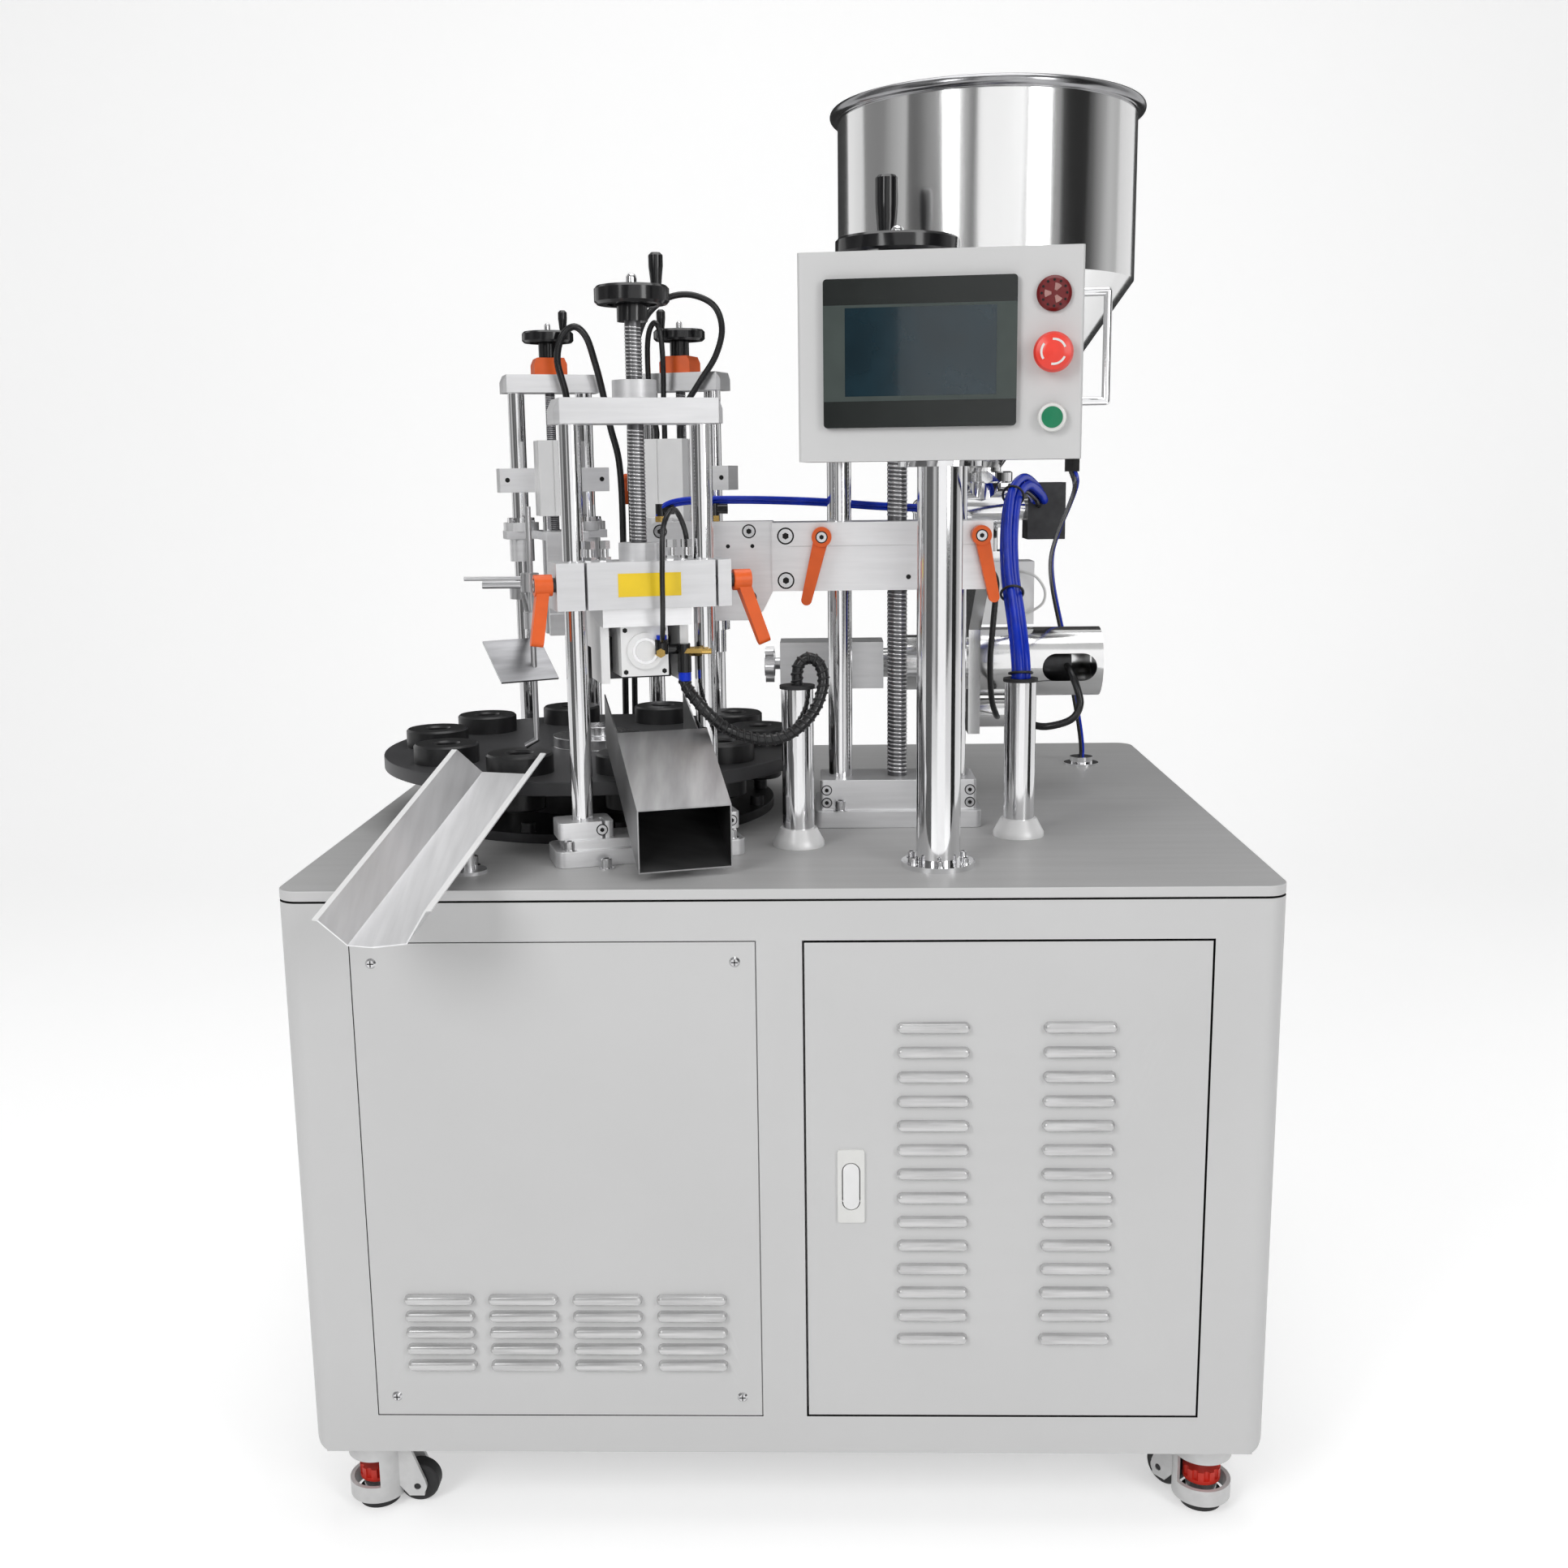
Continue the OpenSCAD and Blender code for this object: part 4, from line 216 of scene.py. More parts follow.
def local(p, angle):
    """Table point in a station's frame: along the tangent, radius, height."""
    a = math.radians(angle)
    dx, dy = p.x - DISC[0], p.y - DISC[1]
    return -dx * math.sin(a) + dy * math.cos(a), dx * math.cos(a) + dy * math.sin(a), p.z


def pick_screw(x, y, hub_low, rim_top, shaft):
    def pick(p, n):
        r = math.hypot(p.x - x, p.y - y)
        if p.z < hub_low - 0.05:
            return 0
        return 2 if p.z > rim_top + 0.2 and r < shaft / 2 + 0.5 else 1
    return pick


def station_point(angle, u, r):
    a = math.radians(angle)
    return DISC[0] + r * math.cos(a) - u * math.sin(a), DISC[1] + r * math.sin(a) + u * math.cos(a)


cut_xy = station_point(CUT_ANGLE, 0, STATION_R)
left_xy = station_point(LEFT_ANGLE, 0, STATION_R)
right_xy = station_point(RIGHT_ANGLE, 0, STATION_R)


def from_opening(p):
    """How far a point lies sideways and up from the middle of the panel's or the door's opening."""
    return abs(abs(p.x) - OPENING_X), abs(p.z + TABLE_Z - OPENING_MID)


def at_opening(p):
    """Whether a point lies at the edge of the panel's or the door's opening."""
    across, up = from_opening(p)
    return across > 217 or up > 277


def pick_body(p, n):
    """Painted shadow on the joint under the table top and on the edges of the two openings."""
    across, up = from_opening(p)
    rim = abs(n.y) < 0.3 and p.y < 20 and across < 228 and up < 288
    return 1 if p.z > -18 or rim and at_opening(p) else 0


# Painted shadow on the edge faces of the panel and the door at their openings
def pick_leaf(p, n):
    return 1 if abs(n.y) < 0.3 and p.y > -0.5 and at_opening(p) else 0


finish_node("cabinet_shell", [PAINT, SHADOW], pick_body)
# Upper face of the table top in the darkened table steel (painted shade), its edges in cabinet paint
finish_node("table_top", [SHADED_TABLE_STEEL, PAINT], lambda p, n: 0 if n.z > 0.5 else 1, 1.2)
finish_node("front_panel", [PAINT, SHADOW], pick_leaf)
finish_node("front_door", [PAINT, SHADOW], pick_leaf)
finish_node("door_hinges", [STEEL])
finish_node("control_plate", [ALLOY, CREAM, DARK_STEEL],
            lambda p, n: 0 if p.y > 918 else (2 if p.x > 230 else 1))
finish_node("index_drive", [DARK_STEEL, ALLOY], lambda p, n: 1 if p.x > -90 else 0)
finish_node("turntable_base", [DARK_STEEL], None, 0.8)
finish_node("turntable_disc", [DISC_GREY, STEEL], lambda p, n: 1 if p.z > 88 else 0, 1.2)
finish_node("tube_cups", [BLACK])
finish_node("guide_posts", [CHROME])
finish_node("station_bases", [ALLOY], None, 1.0)
finish_node("filler_base", [ALLOY], None, 1.0)
finish_node("height_counters", [ORANGE], None, 1.2)


def pick_scrap(p, n):
    """Painted shade inside the duct: faces that look at its middle line take the near-black finish."""
    u, r, z = local(p, CUT_ANGLE)
    a = math.radians(CUT_ANGLE)
    bend_r, bend_z = 328.5, 117
    slope = (45 - bend_z) / 106.5 if r > bend_r else (bend_z - 157) / 70.5
    middle = bend_z + slope * (r - bend_r)
    return int((18 - u) * (n.y * math.cos(a) - n.x * math.sin(a)) + (middle - z) * n.z > 0.5)


# Scrap chute in the darkened stainless, the inside of its duct near-black: both are painted shade
finish_node("scrap_chute", [SHADED_STAINLESS, DUCT_SHADE], pick_scrap)


def pick_chute(p, n):
    """The lips along the top of the chute's walls, by height over its floor."""
    low_end, floor_normal = Vector((-412, -112, -30)), Vector((-0.0978, -0.3588, 0.9282))
    return int((p - low_end).dot(floor_normal) > 28.2)


finish_node("discharge_chute", [BRIGHT, WHITE], pick_chute)
finish_node("tube_deflector", [BRUSHED, PLATE],
            lambda p, n: int(p.z < 250 and p.x < -285 and abs(n.z) > 0.3))
finish_node("hmi_column", [CHROME])
finish_node("conduit_pipes", [CHROME, WHITE, RUBBER],
            lambda p, n: 1 if p.z < 22.2 and p.y < 400 else (2 if p.z > 190.5 else 0))
finish_node("latch_case", [CREAM], None, 0.5)
finish_node("latch_lever", [WHITE], None, 1.0)
finish_node("top_plates", [ALLOY, DULL_ALLOY],
            lambda p, n: int(math.hypot(p.x - cut_xy[0], p.y - cut_xy[1]) < 130), 0.8)
finish_node("cutter_block", [DULL_ALLOY], None, 0.9)


def pick_unit(p, n):
    u, r, z = local(p, CUT_ANGLE)
    if z > 270.9:
        return 0
    if -25.5 < u < 30.5 and r > 261:
        return 1
    if u > 30.5 and r > 310.5:
        return 3
    if r < 261 and z < 240:
        return 2
    return 1


finish_node("cutter_unit", [ALLOY, WHITE, DARK_STEEL, GLOSS_BLACK], pick_unit, 0.6)
finish_node("cutter_knife", [DARK_STEEL], None, 0.5)
# Screw shafts below the handwheel hubs take the darkened thread root, as painted shade
finish_node("cutter_screw", [THREAD_ROOT_SHADE, GLOSS_BLACK, CHROME], pick_screw(*cut_xy, 607, 645, 12))
finish_node("left_screw", [THREAD_ROOT_SHADE, GLOSS_BLACK, CHROME], pick_screw(*left_xy, 611.3, 649, 9))
finish_node("right_screw", [THREAD_ROOT_SHADE, GLOSS_BLACK, CHROME], pick_screw(*right_xy, 611.3, 649, 9))
finish_node("filler_screw", [THREAD_ROOT_SHADE, GLOSS_BLACK, CHROME], pick_screw(*FILL_SCREW, 668, 716, 16))
for side in ("left", "right"):
    finish_node("cutter_lever_" + side, [ORANGE, BLACK],
                lambda p, n: int(abs(local(p, CUT_ANGLE)[0]) < 103.9), 1.0)
    finish_node("filler_lever_" + side, [ORANGE, BLACK], lambda p, n: int(p.y > 301.1), 1.0)


def pick_rear(angle):
    def pick(p, n):
        u, r, z = local(p, angle)
        return 1 if abs(u) < 30.5 and r < 293.2 and z > 383 else 0
    return pick


finish_node("left_head", [ALLOY, WHITE], pick_rear(LEFT_ANGLE), 0.8)
finish_node("right_head", [ALLOY, WHITE], pick_rear(RIGHT_ANGLE), 0.8)
finish_node("left_press", [ALLOY, CHROME], lambda p, n: 1 if p.z > 374.5 else 0, 0.6)
finish_node("filler_crosshead", [ALLOY, CHROME], lambda p, n: 1 if p.z < 261.5 else 0, 1.0)


def pick_pump(p, n):
    if p.x > 262.2 and p.z < 229 and 511 < p.y < 609:
        return 2 if math.hypot(p.y - 560, p.z - 180) < 30 else 0
    if 262 < p.x < 341 and 232 < p.z < 319 and p.y < 611:
        return 1
    if p.x > 334:
        return 2
    if p.x < 133 and p.z < 215:
        return 3
    return 0 if p.z < 345 else 4


finish_node("filler_pump", [POLISHED, WHITE, DARK_STEEL, ALLOY, CHROME], pick_pump)
finish_node("hopper", [POLISHED, RIM],
            lambda p, n: int(math.hypot(p.x - HOPPER_AXIS[0], p.y - HOPPER_AXIS[1]) > 201.2))


def in_box(p):
    """Table point in the operator box's own turned plan."""
    return Matrix.Rotation(-BOX_TURN, 3, "Z") @ Vector((p.x - BOX_PLACE[0], p.y - BOX_PLACE[1], 0))


def pick_box(p, n):
    v = in_box(p)
    if v.x > 149.2:
        return 1
    return 2 if v.y < -45.2 else 0


finish_node("hmi_box", [PAINT, CHROME, MAROON], pick_box)
finish_node("hmi_screen", [BEZEL])
finish_node("estop_button", [RED])


def pick_start(p, n):
    return int(math.hypot(in_box(p).x - 118, p.z - BOX_PLACE[2] - 42.36) > 11.05)


finish_node("start_button", [GREEN, CREAM], pick_start)
for corner in ("front_left", "front_right", "rear_left", "rear_right"):
    finish_node("caster_" + corner, [DIECAST], None, 0.8)
    finish_node("wheel_" + corner, [RUBBER, STEEL], lambda p, n: 0, 0.8)
    finish_node("foot_" + corner, [RUBBER, RED_RING, STEEL],
                lambda p, n: 0 if p.z + TABLE_Z < 14.5 else (1 if 33 < p.z + TABLE_Z < 49 else 2))


# Geometry Nodes: one tree for tubes along a line, one for repeats, one for threads

def new_tree(name, sockets):
    tree = bpy.data.node_groups.new(name, "GeometryNodeTree")
    tree.interface.new_socket("Geometry", in_out="INPUT", socket_type="NodeSocketGeometry")
    for label, kind in sockets:
        tree.interface.new_socket(label, in_out="INPUT", socket_type=kind)
    tree.interface.new_socket("Geometry", in_out="OUTPUT", socket_type="NodeSocketGeometry")
    return tree, tree.nodes.new("NodeGroupInput"), tree.nodes.new("NodeGroupOutput")


def end_tree(tree, source, group_in, group_out):
    real = tree.nodes.new("GeometryNodeRealizeInstances")
    paint = tree.nodes.new("GeometryNodeSetMaterial")
    smooth = tree.nodes.new("GeometryNodeSetShadeSmooth")
    tree.links.new(source, real.inputs["Geometry"])
    tree.links.new(real.outputs["Geometry"], smooth.inputs["Geometry"])
    tree.links.new(smooth.outputs["Geometry"], paint.inputs["Geometry"])
    tree.links.new(group_in.outputs["Material"], paint.inputs["Material"])
    tree.links.new(paint.outputs["Geometry"], group_out.inputs["Geometry"])


def tube_tree():
    tree, gi, go = new_tree("tube along a line", [("Radius", "NodeSocketFloat"), ("Sides", "NodeSocketInt"),
                                                   ("Material", "NodeSocketMaterial")])
    circle = tree.nodes.new("GeometryNodeCurvePrimitiveCircle")
    sweep = tree.nodes.new("GeometryNodeCurveToMesh")
    sweep.inputs["Fill Caps"].default_value = True
    tree.links.new(gi.outputs["Radius"], circle.inputs["Radius"])
    tree.links.new(gi.outputs["Sides"], circle.inputs["Resolution"])
    tree.links.new(gi.outputs["Geometry"], sweep.inputs["Curve"])
    tree.links.new(circle.outputs["Curve"], sweep.inputs["Profile Curve"])
    end_tree(tree, sweep.outputs["Mesh"], gi, go)
    return tree


def repeat_tree():
    tree, gi, go = new_tree("repeats", [("Piece", "NodeSocketObject"), ("Material", "NodeSocketMaterial")])
    info = tree.nodes.new("GeometryNodeObjectInfo")
    place = tree.nodes.new("GeometryNodeInstanceOnPoints")
    tree.links.new(gi.outputs["Piece"], info.inputs["Object"])
    tree.links.new(gi.outputs["Geometry"], place.inputs["Points"])
    tree.links.new(info.outputs["Geometry"], place.inputs["Instance"])
    end_tree(tree, place.outputs["Instances"], gi, go)
    return tree


def thread_tree():
    tree, gi, go = new_tree("thread", [("Radius", "NodeSocketFloat"), ("Height", "NodeSocketFloat"),
                                        ("Turns", "NodeSocketFloat"), ("Ridge", "NodeSocketFloat"),
                                        ("Place", "NodeSocketVector"), ("Material", "NodeSocketMaterial")])
    spiral = tree.nodes.new("GeometryNodeCurveSpiral")
    spiral.inputs["Resolution"].default_value = 14
    circle = tree.nodes.new("GeometryNodeCurvePrimitiveCircle")
    circle.inputs["Resolution"].default_value = 4
    sweep = tree.nodes.new("GeometryNodeCurveToMesh")
    move = tree.nodes.new("GeometryNodeTransform")
    tree.links.new(gi.outputs["Radius"], spiral.inputs["Start Radius"])
    tree.links.new(gi.outputs["Radius"], spiral.inputs["End Radius"])
    tree.links.new(gi.outputs["Height"], spiral.inputs["Height"])
    tree.links.new(gi.outputs["Turns"], spiral.inputs["Rotations"])
    tree.links.new(gi.outputs["Ridge"], circle.inputs["Radius"])
    tree.links.new(spiral.outputs["Curve"], sweep.inputs["Curve"])
    tree.links.new(circle.outputs["Curve"], sweep.inputs["Profile Curve"])
    tree.links.new(sweep.outputs["Mesh"], move.inputs["Geometry"])
    tree.links.new(gi.outputs["Place"], move.inputs["Translation"])
    end_tree(tree, move.outputs["Geometry"], gi, go)
    return tree


TUBE, REPEAT, THREAD = tube_tree(), repeat_tree(), thread_tree()


def link(o):
    bpy.context.scene.collection.objects.link(o)
    return o


def run_tree(o, tree, **values):
    """Runs a tree on o and returns a plain mesh object in its place."""
    mod = o.modifiers.new("nodes", "NODES")
    mod.node_group = tree
    ids = {s.name: s.identifier for s in tree.interface.items_tree if s.in_out == "INPUT"}
    for key, value in values.items():
        mod[ids[key]] = value
    o.update_tag()
    deps = bpy.context.evaluated_depsgraph_get()
    mesh = bpy.data.meshes.new_from_object(o.evaluated_get(deps))
    name = o.name
    o.modifiers.remove(mod)
    bpy.data.objects.remove(o)
    return link(bpy.data.objects.new(name, mesh))


# Lines for hoses

def smooth_line(points, step=6):
    """Points of a smooth curve through the given ones, in row-frame metres."""
    p = [tab(*q) for q in points]
    p = [2 * p[0] - p[1]] + p + [2 * p[-1] - p[-2]]
    out = []
    for i in range(1, len(p) - 2):
        a, b, c, d = p[i - 1:i + 3]
        for k in range(step):
            t = k / step
            out.append(0.5 * ((2 * b) + (c - a) * t + (2 * a - 5 * b + 4 * c - d) * t * t
                              + (3 * b - a - 3 * c + d) * t ** 3))
    out.append(p[-2])
    return out


def beside(line, across, up):
    """The line moved sideways in its own turning frame, in metres."""
    out, side = [], None
    for i, q in enumerate(line):
        t = (line[min(i + 1, len(line) - 1)] - line[max(i - 1, 0)]).normalized()
        if side is None:
            side = t.orthogonal().normalized()
        side = (side - t * side.dot(t)).normalized()
        out.append(q + side * across + t.cross(side) * up)
    return out


def wound(line, radius, pitch, per_turn=14):
    """A helix of the given radius round the line, in metres."""
    whole = length_of(line)
    count = int(whole / pitch * per_turn)
    marks = [0.0]
    for a, b in zip(line, line[1:]):
        marks.append(marks[-1] + (b - a).length)
    out, side, i = [], None, 0
    for k in range(count + 1):
        d = whole * k / count
        while i < len(line) - 2 and marks[i + 1] < d:
            i += 1
        t = (line[i + 1] - line[i]).normalized()
        q = line[i] + t * (d - marks[i])
        side = t.orthogonal().normalized() if side is None else (side - t * side.dot(t)).normalized()
        a = 2 * math.pi * k / per_turn
        out.append(q + side * radius * math.cos(a) + t.cross(side) * radius * math.sin(a))
    return out


def ring_round(line, share, radius, steps=28):
    """A closed ring round the line at a share of its points, in metres."""
    i = int(share * (len(line) - 2))
    t = (line[i + 1] - line[i]).normalized()
    side = t.orthogonal().normalized()
    up = t.cross(side)
    turns = [2 * math.pi * k / steps for k in range(steps + 1)]
    return [line[i] + side * radius * math.cos(a) + up * radius * math.sin(a) for a in turns]


def length_of(line):
    return sum((b - a).length for a, b in zip(line, line[1:]))


def curve_object(name, line):
    data = bpy.data.curves.new(name, "CURVE")
    data.dimensions = "3D"
    spline = data.splines.new("POLY")
    spline.points.add(len(line) - 1)
    for point, q in zip(spline.points, line):
        point.co = (q.x, q.y, q.z, 1)
    return link(bpy.data.objects.new(name, data))


def hose(name, line, diameter, mat, body, other=None, sides=14):
    """A hose along the line, attached to body; with other given, it stays in the row frame and is attached
    to no body.
    """
    o = run_tree(curve_object(name, line), TUBE, Radius=diameter / 2, Sides=sides, Material=mat)
    if other:
        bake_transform(o)
    else:
        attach(o, body)
    return o


ROUTES = {
    "cutter": [(-110, 166.6, 214.98), (-110, 166.6, 204), (-100, 159, 188), (-79.3, 159.8, 164),
               (-60.9, 167.9, 148), (-36, 171, 138), (-10, 173, 135), (15, 178, 143), (39, 190, 166),
               (50, 201, 196), (46, 208, 218), (33, 212, 226), (22, 212, 219), (19, 212, 208),
               (19, 212, 199), (19, 212, 182)],
    "loop": [(-104, 178, 345), (-106, 166, 378), (-116, 146, 402), (-126, 124, 384), (-128, 118, 340),
             (-129, 122, 296), (-131, 134, 266), (-133, 146, 255), (-135, 157, 253)],
    "left": [(-318, 722, 492.02), (-318, 722, 506), (-322, 718, 558), (-332, 714, 604), (-324, 712, 638),
             (-306, 714, 652), (-290, 720, 638), (-280, 728, 604), (-272, 734, 568), (-262, 742, 512),
             (-252, 754, 460), (-251, 768, 380), (-256, 792, 220), (-261, 815, 80), (-262, 822, 4)],
    "right_loop": [(-192, 724, 492.02), (-192, 724, 506), (-200, 723, 550), (-202, 721, 608),
                   (-199, 719, 642), (-190, 716, 656), (-182, 713, 642), (-179, 713, 600), (-180, 719, 545),
                   (-180, 722, 506), (-180, 722, 492.02)],
    "right": [(-248, 822, 4), (-246, 812, 90), (-239, 778, 280), (-234, 744, 430), (-227, 712, 560),
              (-208, 692, 645), (-178, 690, 682), (-140, 692, 692), (-104, 696, 678), (-92, 700, 646),
              (-102, 704, 608), (-126, 708, 572), (-150, 712, 535), (-156, 714, 506), (-156, 714, 492.02)],
    "filler": [(288, 259, 182), (288, 260, 204), (287, 272, 232), (285, 300, 268), (283, 350, 316),
               (288, 410, 366), (300, 470, 408), (320, 520, 424), (340, 562, 414), (349, 583, 404),
               (349, 595.98, 404)],
    "arm": [(-150, 336, 383.02), (-150, 336, 393), (-141, 335, 403), (-120, 336, 408), (-84, 340, 409),
            (-24, 348, 408), (50, 386, 404), (120, 402, 398), (190, 470, 393), (224, 540, 391),
            (238, 578, 390), (240, 590, 390), (240, 601.98, 390)],
    "pump": [(262.02, 430, 312), (269, 430, 312), (275, 431, 300), (275, 432, 282), (272, 436, 240),
             (270, 446, 190), (274, 462, 142), (282, 484, 118), (287, 510, 110), (287, 529.9, 110)],
    "motor": [(384, 531, 176), (385, 508, 171), (392, 494, 152), (396, 488, 128), (384, 488, 108),
              (352, 494, 98), (330, 512, 100), (318, 534, 107), (311, 543, 110), (303.02, 543, 110)],
    "cable": [(320, 92, 451.28), (320, 92, 441), (326, 106, 430), (340, 200, 418), (347, 300, 394),
              (352, 420, 360), (361, 540, 322), (380, 652, 272), (406, 708, 186), (432, 745, 82),
              (441, 753, 30), (441, 754, 4)],
}
SENSOR_LEAD = [(322, 553.6, 304), (324, 546, 304), (340, 538, 298), (352, 536, 280), (350, 538, 262),
               (334, 544, 250), (322, 549, 246), (320, 553.6, 246)]
LINES = {key: smooth_line(route) for key, route in ROUTES.items()}
wrap = run_tree(curve_object("cutter_hose_wrap", wound(LINES["cutter"], 0.0062, 0.0085)), TUBE,
                Radius=0.0016, Sides=6, Material=BLACK)
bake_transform(wrap)
hose("cutter_hose", LINES["cutter"], 0.0128, HOSE, "cutter_head", "frame")
hose("cutter_loop", LINES["loop"], 0.006, HOSE, "cutter_head")
hose("left_hose", LINES["left"], 0.010, HOSE, "rear_left_head", "frame")
hose("right_loop", LINES["right_loop"], 0.008, HOSE, "rear_right_head")
hose("right_hose", LINES["right"], 0.009, HOSE, "frame", "rear_right_head")
bundle = LINES["filler"]
for k, (across, up) in enumerate(((-0.006, -0.0036), (0.006, -0.0036), (0, 0.0068))):
    hose("filler_tube_%d" % (k + 1), beside(bundle, across, up), 0.0116, BLUE, "frame", "filler_head")
hose("filler_tube_4", beside(bundle, 0.0098, 0.0060), 0.006, HOSE, "frame", "filler_head")
for k, share in enumerate((0.09, 0.36, 0.62)):
    ring = run_tree(curve_object("filler_tie_%d" % (k + 1), ring_round(bundle, share, 0.0138)), TUBE,
                    Radius=0.0017, Sides=6, Material=BLACK)
    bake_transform(ring)
for k, across in enumerate((-0.0033, 0.0033)):
    hose("arm_tube_%d" % (k + 1), beside(LINES["arm"], across, 0), 0.006, BLUE, "filler_head")
hose("sensor_lead", smooth_line(SENSOR_LEAD), 0.0036, CREAM, "filler_head")
hose("pump_cable", LINES["pump"], 0.008, HOSE, "filler_head")
hose("motor_cable", LINES["motor"], 0.010, HOSE, "filler_head")
hose("box_tube", beside(LINES["cable"], -0.0026, 0), 0.005, BLUE, "hmi", "frame")
hose("box_cable", beside(LINES["cable"], 0.0026, 0), 0.005, HOSE, "hmi", "frame")
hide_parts("cutter_hoses")
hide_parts("rear_hoses")
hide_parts("filler_hose")
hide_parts("filler_lines")
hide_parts("hmi_cable")


# Threads on the screws

def thread(name, x, y, low, high, radius, pitch, body):
    start = bpy.data.objects.new(name, bpy.data.meshes.new(name))
    o = run_tree(link(start), THREAD, Radius=radius / 1000, Height=(high - low) / 1000,
                 Turns=(high - low) / pitch, Ridge=pitch * 0.00034, Place=tab(x, y, low), Material=STEEL)
    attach(o, body)


thread("cutter_thread", *cut_xy, 368, 492, 8.6, 4.0, "cutter_wheel")
thread("cutter_thread_high", *cut_xy, 548, 602, 8.6, 4.0, "cutter_wheel")
thread("left_thread", *left_xy, 312, 558, 6.6, 3.0, "rear_left_wheel")
thread("right_thread", *right_xy, 456, 558, 6.6, 3.0, "rear_right_wheel")
thread("filler_thread_low", *FILL_SCREW, 64, 294, 11.4, 5.0, "filler_wheel")
thread("filler_thread_high", *FILL_SCREW, 386, 636, 11.4, 5.0, "filler_wheel")


# Small pieces gathered per body and finish

GATHER = {}


def gather(body, mat):
    return GATHER.setdefault((body, mat.name), (bmesh.new(), mat))[0]


def put(bm, made, place):
    bmesh.ops.transform(bm, matrix=place, verts=made)


def cyl(body, mat, frame_m, p, axis, d, h, sides=24, d2=None):
    """Cylinder or cone from p along axis, in the given millimetre frame."""
    bm = gather(body, mat)
    far = d if d2 is None else d2
    made = bmesh.ops.create_cone(bm, cap_ends=True, segments=sides, radius1=d / 2, radius2=far / 2,
                                 depth=h)["verts"]
    turn = Vector((0, 0, 1)).rotation_difference(Vector(axis)).to_matrix().to_4x4()
    put(bm, made, frame_m @ Matrix.Translation(p) @ turn @ Matrix.Translation((0, 0, h / 2)))


def block(body, mat, frame_m, low, high):
    bm = gather(body, mat)
    made = bmesh.ops.create_cube(bm, size=1)["verts"]
    low, high = Vector(low), Vector(high)
    put(bm, made, frame_m @ Matrix.Translation((low + high) / 2) @ Matrix.Diagonal((*(high - low), 1)))


def turned(body, mat, frame_m, p, axis, profile, sides=32):
    """Ring or knob turned about an axis from a closed outline of (radius, height) points."""
    bm = gather(body, mat)
    turn = Vector((0, 0, 1)).rotation_difference(Vector(axis)).to_matrix().to_4x4()
    place = frame_m @ Matrix.Translation(p) @ turn
    rings = []
    for k in range(sides):
        a = 2 * math.pi * k / sides
        points = [place @ Vector((r * math.cos(a), r * math.sin(a), z)) for r, z in profile]
        rings.append([bm.verts.new(q) for q in points])
    count = len(profile)
    for k in range(sides):
        a, b = rings[k], rings[(k + 1) % sides]
        for i in range(count):
            j = (i + 1) % count
            bm.faces.new((a[i], b[i], b[j], a[j]))


def band(body, mat, frame_m, p, axis, outer, inner, h, sides=32):
    outline = [(inner / 2, 0), (outer / 2, 0), (outer / 2, h), (inner / 2, h)]
    turned(body, mat, frame_m, p, axis, outline, sides)


def arc_strip(body, mat, frame_m, p, radius, width, start, end, thick=0.6):
    """Flat strip along an arc on a front face, angles in degrees."""
    bm = gather(body, mat)
    steps = 14
    near, far = radius - width / 2, radius + width / 2
    middle = Vector(p)
    rows = []
    for k in range(steps + 1):
        a = math.radians(start + (end - start) * k / steps)
        corners = [(near, 0), (near, -thick), (far, -thick), (far, 0)]
        points = [middle + Vector((r * math.cos(a), y, r * math.sin(a))) for r, y in corners]
        rows.append([bm.verts.new(frame_m @ q) for q in points])
    for a, b in zip(rows, rows[1:]):
        for i in range(4):
            j = (i + 1) % 4
            bm.faces.new((a[i], b[i], b[j], a[j]))
    bm.faces.new(rows[0][::-1])
    bm.faces.new(rows[-1])


def cap_screw(body, frame_m, p, axis, d, head=None, washer=True):
    """Socket cap screw: washer, knurled head and hexagon socket in painted shadow."""
    axis = Vector(axis)
    p = Vector(p)
    head = d * 0.7 if head is None else head
    if washer:
        cyl(body, CHROME, frame_m, p, axis, d * 1.35, d * 0.12)
    cyl(body, STEEL, frame_m, p + axis * d * 0.1, axis, d, head * 0.9, 28)
    cyl(body, STEEL, frame_m, p + axis * (d * 0.1 + head * 0.9), axis, d, head * 0.1, 28, d * 0.86)
    cyl(body, SHADOW, frame_m, p + axis * (d * 0.1 + head * 0.72), axis, d * 0.56, head * 0.29, 6)


def flush_screw(body, frame_m, p, axis, d):
    """Screw sunk in its counterbore, seen as a ring of painted shadow, a head and a socket in painted
    shadow.
    """
    axis, p = Vector(axis), Vector(p)
    cyl(body, SHADOW, frame_m, p - axis * 0.4, axis, d * 1.22, 0.6, 28)
    cyl(body, STEEL, frame_m, p - axis * 0.2, axis, d, 0.8, 28)
    cyl(body, SHADOW, frame_m, p, axis, d * 0.5, 0.75, 6)


def hole(body, frame_m, p, axis, d):
    axis, p = Vector(axis), Vector(p)
    cyl(body, SHADOW, frame_m, p - axis * 0.4, axis, d, 0.6, 20)


OUT = (0, -1, 0)
UPW = (0, 0, 1)

